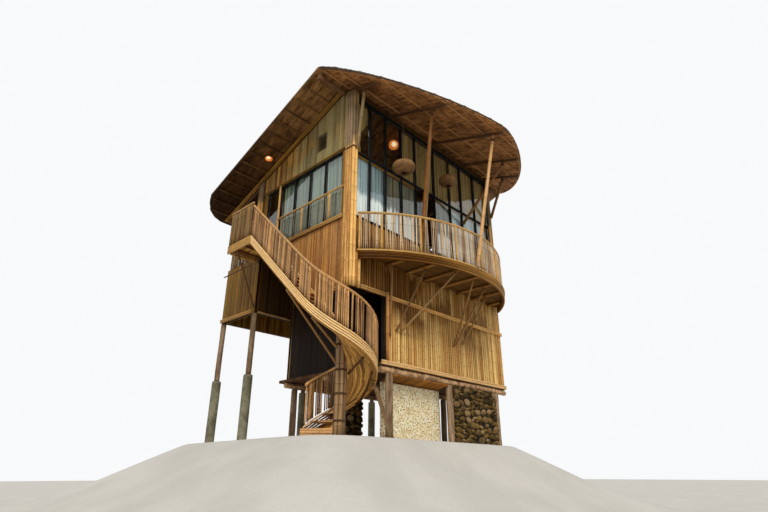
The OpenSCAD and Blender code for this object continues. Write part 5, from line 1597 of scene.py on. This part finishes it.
class HOUSE_OT_base(bpy.types.Operator):
    """Trunk posts, concrete sleeves, driftwood logs, cobble walls, plaster and the slatted soffit"""
    bl_idname = "house.base"
    bl_label = "Posts and base"

    def execute(self, context):
        rng = random.Random(18)
        log_z = LOWER - 0.08 - SEAT - 0.085
        base_top = log_z - 0.085 - SEAT
        batch = Batch()
        for y in (0.06, 2.1, 3.9):
            for x in (1.46, 3.95, 6.35):
                self.log(batch, (x, y, 0), (x, y, base_top), 0.094, rng, 0.07)
        wing = [(0.06, 4.26), (0.06, 5.99), (3.4, 5.99), (6.84, 5.99), (6.84, 4.38)]
        for x, y in wing:
            self.log(batch, (x, y, 1.85), (x, y, WING - SEAT), 0.08, rng, 0.06)
        batch.make("trunks", "Trunk wood", "trunks", "trunk_posts")
        batch = Batch()
        for x, y in wing:
            self.log(batch, (x, y, 0), (x, y, 1.85), 0.133, rng, 0.012)
        batch.make("sleeves", "Concrete", "concrete", "concrete_footings")
        batch = Batch()
        for y in (0.06, 2.1, 3.9):
            self.log(batch, (LOWER_X - 0.24, y, log_z), (WIDE - 0.02, y, log_z), 0.08, rng, 0.2)
        batch.make("drift_logs", "Driftwood", "trunks", "log_beams")
        batch = Batch()
        x0, x1 = 1.46 + 0.0983, 3.95 - 0.0983
        form = strip(1)
        p = form.points
        edges = spread(x0, x1, 0.06, rng, vary=0.3)
        for a, b in zip(edges, edges[1:]):
            x = (a + b) / 2 + p[:, 0] * (b - a - 0.004)
            y = p[:, 2] * 0.48
            z = base_top - 0.03 - p[:, 2] * 0.12 + p[:, 1] * 0.026
            local = (p[:, 0] * 0.06, p[:, 1] * 0.02, y + rng.uniform(0, 50))
            batch.add(form, (x, y, z), local, y / 0.3 + rng.random(), rng.random())
        batch.make("soffit_strips", "Soffit strips", "bamboo_slats", "slat_soffit")
        self.plaster(base_top)
        self.stones(base_top, rng)
        repaint("upper_floor", "Floor planks")
        repaint("lower_floor", "Floor planks")
        return {"FINISHED"}

    def log(self, batch, a, b, radius, rng, amount):
        """A log whose sides swell, dent and twist as real wood does."""
        form = log_form()
        a, b = np.array(a, float), np.array(b, float)
        d = unit(b - a)
        ref = np.array([1.0, 0, 0]) if abs(d[2]) > 0.9 else np.array([0, 0, 1.0])
        u = unit(np.cross(d, ref))
        v = np.cross(d, u)
        p = form.points
        length = float(np.linalg.norm(b - a))
        seed = rng.uniform(0, 100)
        grow = []
        for q in p:
            n = noise.noise(Vector((q[0] * 0.8 + seed, q[1] * 0.8, q[2] * length * 1.1)))
            k = noise.noise(Vector((q[0] * 1.5, q[1] * 1.5 + seed, q[2] * length * 3.1)))
            grow.append(1 + amount * (n + 0.45 * k) * 1.3)
        r = radius * np.array(grow)[:, None]
        sway = np.array([[noise.noise(Vector((seed + i * 9, 0, q[2] * length * 0.8))) for i in (1, 2)]
                         for q in p])
        sway = sway * amount * radius * 1.6
        points = a + d * p[:, 2:] * length + (u * p[:, :1] + v * p[:, 1:2]) * r
        points = points + u * sway[:, :1] + v * sway[:, 1:]
        local = np.column_stack([p[:, 0] * radius, p[:, 1] * radius, p[:, 2] * length + seed])
        batch.add(form, points, local, 0.25, rng.random())

    def plaster(self, base_top):
        """A hand-laid plaster panel, lumpy all over."""
        x0, x1, y0, y1, z1 = 1.5583, 3.8517, 0.33, 0.48, base_top - 0.15
        clear()
        bpy.ops.mesh.primitive_cube_add(size=1)
        obj = bpy.context.object
        bpy.ops.transform.resize(value=(x1 - x0, y1 - y0, z1))
        bpy.ops.transform.translate(value=((x0 + x1) / 2 - HOUSE_X, (y0 + y1) / 2 - HOUSE_Y, z1 / 2))
        bpy.ops.object.transform_apply(location=True, rotation=True, scale=True)
        mode("EDIT")
        slice_up([x0 + (x1 - x0) * (n + 1) / 46 - HOUSE_X for n in range(45)], 0)
        slice_up([z1 * (n + 1) / 28 for n in range(27)])
        mode("OBJECT")
        for v in obj.data.vertices:
            q = v.co.copy()
            n = noise.noise(q * 2.3) * 0.6 + noise.noise(q * 7.0) * 0.4
            side = -1 if q.y < (y0 + y1) / 2 - HOUSE_Y else 1
            v.co.y = q.y - side * (0.012 - 0.012 * n)
        smooth(obj, lambda face: abs(face.normal.y) > 0.5)
        hand_over(obj, "plaster_wall", "Rough plaster", "plaster", "plaster_panel")

    def stones(self, base_top, rng):
        """Field stones of all sizes on the faces of the two stone walls, over dark mortar."""
        batch = Batch()
        walls = [((4.0483, -0.09), (6.2517, 0.21), base_top),
                 ((1.13, 1.7017), (2.2383, 2.0017), base_top - 0.38)]
        size = bpy.context.scene.base_looks.stone
        for (x0, y0), (x1, y1), top in walls:
            form = board()
            p = form.points
            points = np.stack([x0 + 0.05 + (p[:, 0] + 0.5) * (x1 - x0 - 0.1),
                               y0 + 0.05 + p[:, 1] * (y1 - y0 - 0.1), p[:, 2] * (top - 0.03)], 1)
            batch.add(form, points, p, 0.25, 0.5, 2)
            for face in (y0 + 0.07, y1 - 0.07):
                self.courses(batch, face, x0, x1, top, size, rng)
            z = 0.0
            while z < top - 0.05:
                h = min(size * rng.uniform(0.5, 0.9), top - z)
                for x in (x0 + 0.07, x1 - 0.07):
                    self.cobble(batch, (x, (y0 + y1) / 2, z + h / 2), (0.066, 0.085, h / 2), 0.0, rng)
                z += h
        batch.make("cobble_walls", ["Cobbles", "Pale stones", "Mortar"], "fieldstone", "stone_walls")

    def courses(self, batch, face, x0, x1, top, size, rng):
        """Stones laid into the lowest free place along a face, each with its own size and turn."""
        step = 0.02
        line = np.zeros(int((x1 - x0) / step) + 1)
        while line.min() < top - 0.06:
            k = int(line.argmin())
            w = size * rng.choice((0.5, 0.7, 0.9, 1.1, 1.3)) * rng.uniform(0.9, 1.1)
            h = w * rng.uniform(0.42, 0.75)
            n = max(2, int(w / step))
            a = max(0, min(k - rng.randrange(0, max(1, n // 3)), len(line) - n))
            b = a + n
            base = float(np.median(line[a:b]))
            h = min(h, top - base)
            if h < 0.04:
                line[k] = top
                continue
            centre = (min(x1 - w / 2, x0 + (a + n / 2) * step), face, base + h / 2)
            self.cobble(batch, centre, (w / 2, rng.uniform(0.055, 0.075), h / 2), 0.35, rng)
            line[a:b] = base + h * 0.97

    def cobble(self, batch, centre, half, turn, rng):
        form = cobble(rng.randrange(4))
        p = form.points
        a = rng.uniform(-turn, turn)
        x = p[:, 0] * half[0] * 1.08
        z = p[:, 2] * half[2] * 1.12
        points = np.stack([centre[0] + x * math.cos(a) - z * math.sin(a), centre[1] + p[:, 1] * half[1],
                           np.maximum(0.002, centre[2] + x * math.sin(a) + z * math.cos(a))], 1)
        batch.add(form, points, p * 0.1, 0.25, rng.random(), 1 if rng.random() < 0.3 else 0)


class HOUSE_OT_glazing(bpy.types.Operator):
    """Black frames, clear panes, louvred vents, pleated curtains and the lamps"""
    bl_idname = "house.glazing"
    bl_label = "Glass, curtains and lamps"

    def execute(self, context):
        repaint("glass_wall_frame", "Black timber")
        repaint("window_frames", "Black timber")
        repaint("glass_wall_panes", "Window glass")
        repaint("window_glass", "Window glass")
        self.vents()
        self.rails()
        y = 0.1003 + 0.015
        foot = FLOOR + 0.015
        for k, (x0, x1, look) in enumerate((
                (0.15, 0.69, "Blue-grey curtain cloth"), (0.7, 1.29, "Slate curtain cloth"),
                (1.35, 2.65, "Grey-green curtain cloth"), (3.7, 4.44, "Grey-green curtain cloth"),
                (4.5, 6.7, "Curtain cloth"))):
            self.curtain(f"front_curtain_{k + 1}", x0, x1, y, foot, TRANSOM + 0.02, False, k, look)
        for k, (y0, y1) in enumerate([(0.5, 1.87), (1.93, 3.25)]):
            self.curtain(f"side_curtain_{k + 1}", y0, y1, y, foot, HEAD - 0.02, True, k + 5,
                         "Side curtain cloth")
        low, high = TRANSOM + 0.06, RIDGE - 0.59
        self.curtain("upper_curtain", 2.06, 6.74, y, low, high, False, 9, "Drape cloth")
        self.curtain("drawn_curtain", 0.15, 0.64, y, low, high, False, 10, "Drape cloth", drawn=True)
        self.lamps()
        return {"FINISHED"}

    def rails(self):
        """Brown strips over the head of the glass front, and a bamboo rail for the lower curtains."""
        rng = random.Random(29)
        batch = Batch()
        form = strip(1)
        p = form.points
        for z0, z1 in ((9.395, 9.446), (9.449, 9.5), (9.503, 9.552)):
            x = 0.0
            while x < WIDE:
                x1 = min(WIDE, x + rng.uniform(1.1, 1.9))
                along = x + 0.001 + p[:, 2] * (x1 - x - 0.002)
                local = (p[:, 0] * 0.05, p[:, 1] * 0.015, along + rng.uniform(0, 50))
                batch.add(form, (along, 0.004 + p[:, 1] * 0.0155, (z0 + z1) / 2 + p[:, 0] * (z1 - z0)),
                          local, along / 0.4, rng.random())
                x = x1
        batch.make("head_strips", "Wing slats in shade", "dark_slats")
        batch = Batch()
        for a, b in zip((0.07, 1.35, 3.68), (1.29, 2.65, 6.83)):
            x = a + p[:, 2] * (b - a)
            local = (p[:, 0] * 0.07, p[:, 1] * 0.03, x)
            batch.add(form, (x, 0.0685 + p[:, 1] * 0.03, TRANSOM - 0.07 + p[:, 0] * 0.07), local,
                      x / 0.4, 0.3)
        for a, b, c, d in ((1.35, 2.65, TRANSOM - 0.145, TRANSOM - 0.107),
                           (1.66, 1.71, FLOOR + SEAT, TRANSOM - 0.146)):
            x = a + p[:, 2] * (b - a)
            local = (p[:, 0] * 0.04, p[:, 1] * 0.03, x)
            batch.add(form, (x, 0.0685 + p[:, 1] * 0.03, c + (p[:, 0] + 0.5) * (d - c)), local, 0.25, 0.8, 1)
        batch.make("curtain_rails", ["Wing slats", "Shaded culm"], "bamboo_slats")

    def vents(self):
        """A frame with sloping louvre blades in each gable."""
        rng = random.Random(30)
        batch = Batch()
        form = board(2)
        p = form.points
        y0, y1, z0, z1 = 1.1803, 1.6297, 8.1003, 8.7197
        for x0 in (0.0, WIDE - WALL):
            for a, b, c, d in ((y0, y0 + 0.04, z0, z1), (y1 - 0.04, y1, z0, z1),
                               (y0 + 0.04, y1 - 0.04, z0, z0 + 0.04), (y0 + 0.04, y1 - 0.04, z1 - 0.04, z1)):
                points = np.stack([x0 + 0.012 + p[:, 1] * (WALL - 0.024), (a + b) / 2 + p[:, 0] * (b - a),
                                   c + p[:, 2] * (d - c)], 1)
                batch.add(form, points, points * 0.3, 0.25, rng.random())
            out = -1 if x0 == 0 else 1
            for i in range(7):
                z = z0 + 0.04 + (i + 0.5) * 0.0771
                w, t = p[:, 0] * 0.07, (p[:, 1] - 0.5) * 0.012
                x = x0 + WALL / 2 + out * (w * 0.766 + t * 0.643)
                y = y0 + 0.035 + p[:, 2] * (y1 - y0 - 0.07)
                points = np.stack([x, y, z - w * 0.643 + t * 0.766], 1)
                local = (w, t, y + rng.uniform(0, 50))
                batch.add(form, points, local, 0.25, rng.random())
        batch.make("vent_louvres", "Vent blades", "dark_slats", "gable_vents")

    def curtain(self, name, a, b, depth, low, high, side, seed, cloth, drawn=False):
        """A gathered curtain: a flat grid folded into upright pleats, or drawn aside halfway down."""
        clear()
        n = int((b - a) / 0.016)
        bpy.ops.mesh.primitive_grid_add(x_subdivisions=n, y_subdivisions=14, size=1)
        obj = bpy.context.object
        rng = random.Random(40 + seed)
        phase = rng.uniform(0, 6)
        for v in obj.data.vertices:
            u, t = v.co.x + 0.5, v.co.y + 0.5
            x = a + u * (b - a)
            w = x * 52 + 1.6 * math.sin(x * 7 + phase) + 0.5 * math.sin(t * 3 + x * 5)
            fold = (0.010 + 0.003 * math.sin(x * 11 + phase)) * math.sin(w)
            z = low + t * (high - low)
            if drawn:
                x = a + u * float(np.interp(z - low, (0, 0.65, 0.9, 1.22, 2), (0.23, 0.15, 0.33, 0.49, 0.49)))
            if side:
                v.co = (depth + fold - HOUSE_X, x - HOUSE_Y, z)
            else:
                v.co = (x - HOUSE_X, depth + fold - HOUSE_Y, z)
        smooth(obj)
        hand_over(obj, name, cloth, "curtain_cloth", "curtains")

    def lamps(self):
        """Flattened globes of woven cane on rods, a small eave lamp and the lit bulb."""
        rng = random.Random(31)
        y = RIDGE_Y - BATTEN_FIRST - 2 * BATTEN_STEP
        hook = float(under(y, BATTEN / 2 + SEAT)) - BATTEN / 2 - SEAT
        for k, (x, z, radius) in enumerate(((1.39, DECK + 2.785, 0.34), (3.51, DECK + 3.273, 0.3))):
            clear()
            bpy.ops.mesh.primitive_uv_sphere_add(segments=48, ring_count=24, radius=1)
            obj = bpy.context.object
            mode("EDIT")
            pick(obj, lambda q: q.z < -0.985 or q.z > 0.985)
            bpy.ops.mesh.delete(type="VERT")
            select_mesh()
            bpy.ops.transform.resize(value=(radius * 0.98, radius * 0.98, 0.2))
            mode("OBJECT")
            for v in obj.data.vertices:
                a = math.atan2(v.co.y, v.co.x)
                grow = 1 + 0.012 * math.sin(a * 24) * math.sin(v.co.z * 190)
                v.co = (v.co.x * grow, v.co.y * grow, v.co.z)
            shell = obj.modifiers.new("shell", "SOLIDIFY")
            shell.thickness = 0.008
            bpy.ops.object.modifier_apply(modifier="shell")
            for v in obj.data.vertices:
                v.co = (v.co.x + x - HOUSE_X, v.co.y + y - HOUSE_Y, v.co.z + z)
            smooth(obj)
            hand_over(obj, f"cane_shade_{k + 1}", "Basket weave", "basket", "lamps")
            batch = Batch()
            pole(batch, (x, y, z + 0.17), (x, y, hook), 0.008, rng, sides=6, bow=0)
            pole(batch, (x, y, z + 0.17), (x, y, z + 0.235), 0.035, rng, sides=8, bow=0)
            batch.make(f"shade_cord_{k + 1}", "Shaded culm", "basket")
        lamps = Batch()
        x, y = -0.45, 3.53
        z = float(roof_z(y)) - SEAT
        pole(lamps, (x, y, z), (x, y, z - 0.06), 0.07, rng, sides=12, bow=0)
        lamps.make("eave_lamp_base", "Shaded culm", "basket")
        self.bulb("eave_bulb", (x, y, z - 0.105), 0.12, 0.55)
        batch = Batch()
        x, y = 2.52, 0.8
        top = float(roof_z(y)) - SEAT
        pole(batch, (x, y, top), (x, y, 9.42), 0.008, rng, sides=6, bow=0)
        pole(batch, (x, y, 9.5), (x, y, 9.44), 0.028, rng, sides=8, bow=0)
        batch.make("ceiling_bulb_rod", "Shaded culm", "basket")
        self.bulb("ceiling_bulb", (x, y, 9.31), 0.165, 1.0)

    def bulb(self, name, place, radius, high):
        """A globe of orange glass round a lit bulb."""
        clear()
        bpy.ops.mesh.primitive_uv_sphere_add(segments=32, ring_count=20, radius=radius)
        obj = bpy.context.object
        mode("EDIT")
        pick(obj, lambda q: q.z > radius * 0.9)
        bpy.ops.transform.resize(value=(0.7, 0.7, 1))
        mode("OBJECT")
        # A painted highlight: the tone peaks on the side of the globe that faces the camera.
        painted_hot_spot_side = Vector((-0.56, -0.66, -0.4)).normalized()
        near = [max(0.0, v.co.normalized().dot(painted_hot_spot_side)) ** 3 for v in obj.data.vertices]
        obj.data.attributes.new("tone", "FLOAT", "POINT").data.foreach_set("value", near)
        for v in obj.data.vertices:
            v.co = (v.co.x + place[0] - HOUSE_X, v.co.y + place[1] - HOUSE_Y, v.co.z * high + place[2])
        smooth(obj)
        hand_over(obj, name, "Orange globe", "basket")


class HOUSE_OT_stage(bpy.types.Operator):
    """A pale mound under the house, soft light and the camera of the photograph"""
    bl_idname = "house.stage"
    bl_label = "Stage"

    def execute(self, context):
        scene = context.scene
        looks = scene.stage_looks
        clear()
        bpy.ops.mesh.primitive_circle_add(vertices=96, radius=1, fill_type="NGON")
        floor = context.object
        centre = (3.175 - HOUSE_X, 3.0 - HOUSE_Y, 0)
        for v in floor.data.vertices:
            a = math.atan2(v.co.y, v.co.x)
            k = (abs(math.cos(a)) ** 8 + abs(math.sin(a)) ** 8) ** (-1 / 8)
            v.co = (k * math.cos(a) * 4.05 + centre[0], k * math.sin(a) * 3.37 + centre[1], 0)
        mode("EDIT")
        bpy.ops.mesh.select_mode(type="EDGE")
        select_mesh()
        bpy.ops.mesh.region_to_loop()
        for grow, drop in ((1.02, -0.03), (1.12, -0.25), (1.35, -0.85), (1.45, -0.9), (1.5, -0.5),
                           (4.0, -0.2), (4.0, 0)):
            bpy.ops.mesh.extrude_edges_move()
            bpy.ops.transform.resize(value=(grow, grow, 1), center_override=centre)
            bpy.ops.transform.translate(value=(0, 0, drop))
        bpy.ops.mesh.select_mode(type="VERT")
        mode("OBJECT")
        smooth(floor, lambda face: len(face.vertices) == 4)
        floor.name = "stage_floor"
        floor.data.materials.append(finish("Pale floor"))
        world = bpy.data.worlds.new("Soft sky")
        scene.world = world
        world.use_nodes = True
        tree = world.node_tree
        for node in list(tree.nodes):
            tree.nodes.remove(node)
        path = add(tree, "LightPath")
        seen = calc(tree, "MAXIMUM", path.outputs["Is Camera Ray"], path.outputs["Is Glossy Ray"])
        seen = calc(tree, "MAXIMUM", seen, path.outputs["Is Transmission Ray"])
        lit = add(tree, "Background", {"Color": (1, 0.985, 0.95, 1), "Strength": looks.sky})
        shown = add(tree, "Background", {"Color": (0.94, 0.95, 0.96, 1), "Strength": 1.0})
        both = add(tree, "MixShader", {0: seen, 1: lit.outputs[0], 2: shown.outputs[0]})
        add(tree, "OutputWorld", {"Surface": both.outputs[0]})
        sun = bpy.data.lights.new("Soft key", "SUN")
        sun.energy = looks.sun
        sun.angle = math.radians(25)
        sun.color = (1.0, 0.96, 0.9)
        lamp = bpy.data.objects.new("Soft key", sun)
        lamp.rotation_euler = (math.radians(42), 0, math.radians(-40))
        scene.collection.objects.link(lamp)
        camera = bpy.data.objects.new("Camera", bpy.data.cameras.new("Camera"))
        camera.data.lens = 24
        camera.data.sensor_width = 36
        camera.data.clip_end = 500
        camera.location = (-11.786, -10.759, -0.760)
        camera.rotation_euler = (math.radians(113.06), 0, math.radians(-46.6))
        scene.collection.objects.link(camera)
        scene.camera = camera
        scene.view_settings.view_transform = "Standard"
        return {"FINISHED"}


class HOUSE_PT_panel(bpy.types.Panel):
    """The house's pieces and settings"""
    bl_idname = "HOUSE_PT_panel"
    bl_label = "Bamboo stilt house"
    bl_space_type = "VIEW_3D"
    bl_region_type = "UI"
    bl_category = "House"

    def draw(self, context):
        layout = self.layout
        for key in ("pole_looks", "slat_looks", "base_looks", "stage_looks"):
            box = layout.box()
            looks = getattr(context.scene, key)
            for name in looks.bl_rna.properties.keys():
                if name not in ("rna_type", "name"):
                    box.prop(looks, name)
        for operator in OPERATORS:
            layout.operator(operator.bl_idname)


LOOKS = {"pole_looks": PoleLooks, "slat_looks": SlatLooks, "base_looks": BaseLooks, "stage_looks": StageLooks}
OPERATORS = [HOUSE_OT_walls, HOUSE_OT_upper_walls, HOUSE_OT_roof, HOUSE_OT_poles, HOUSE_OT_balcony,
             HOUSE_OT_landing, HOUSE_OT_stair, HOUSE_OT_base, HOUSE_OT_glazing, HOUSE_OT_stage]


def register():
    for cls in (*LOOKS.values(), *OPERATORS, HOUSE_PT_panel):
        bpy.utils.register_class(cls)
    for key, cls in LOOKS.items():
        setattr(bpy.types.Scene, key, PointerProperty(type=cls))


def unregister():
    for key in LOOKS:
        delattr(bpy.types.Scene, key)
    for cls in reversed((*LOOKS.values(), *OPERATORS, HOUSE_PT_panel)):
        bpy.utils.unregister_class(cls)


def main():
    register()
    for operator in OPERATORS:
        getattr(bpy.ops.house, operator.bl_idname.split(".")[1])()


if __name__ == "__main__":
    main()
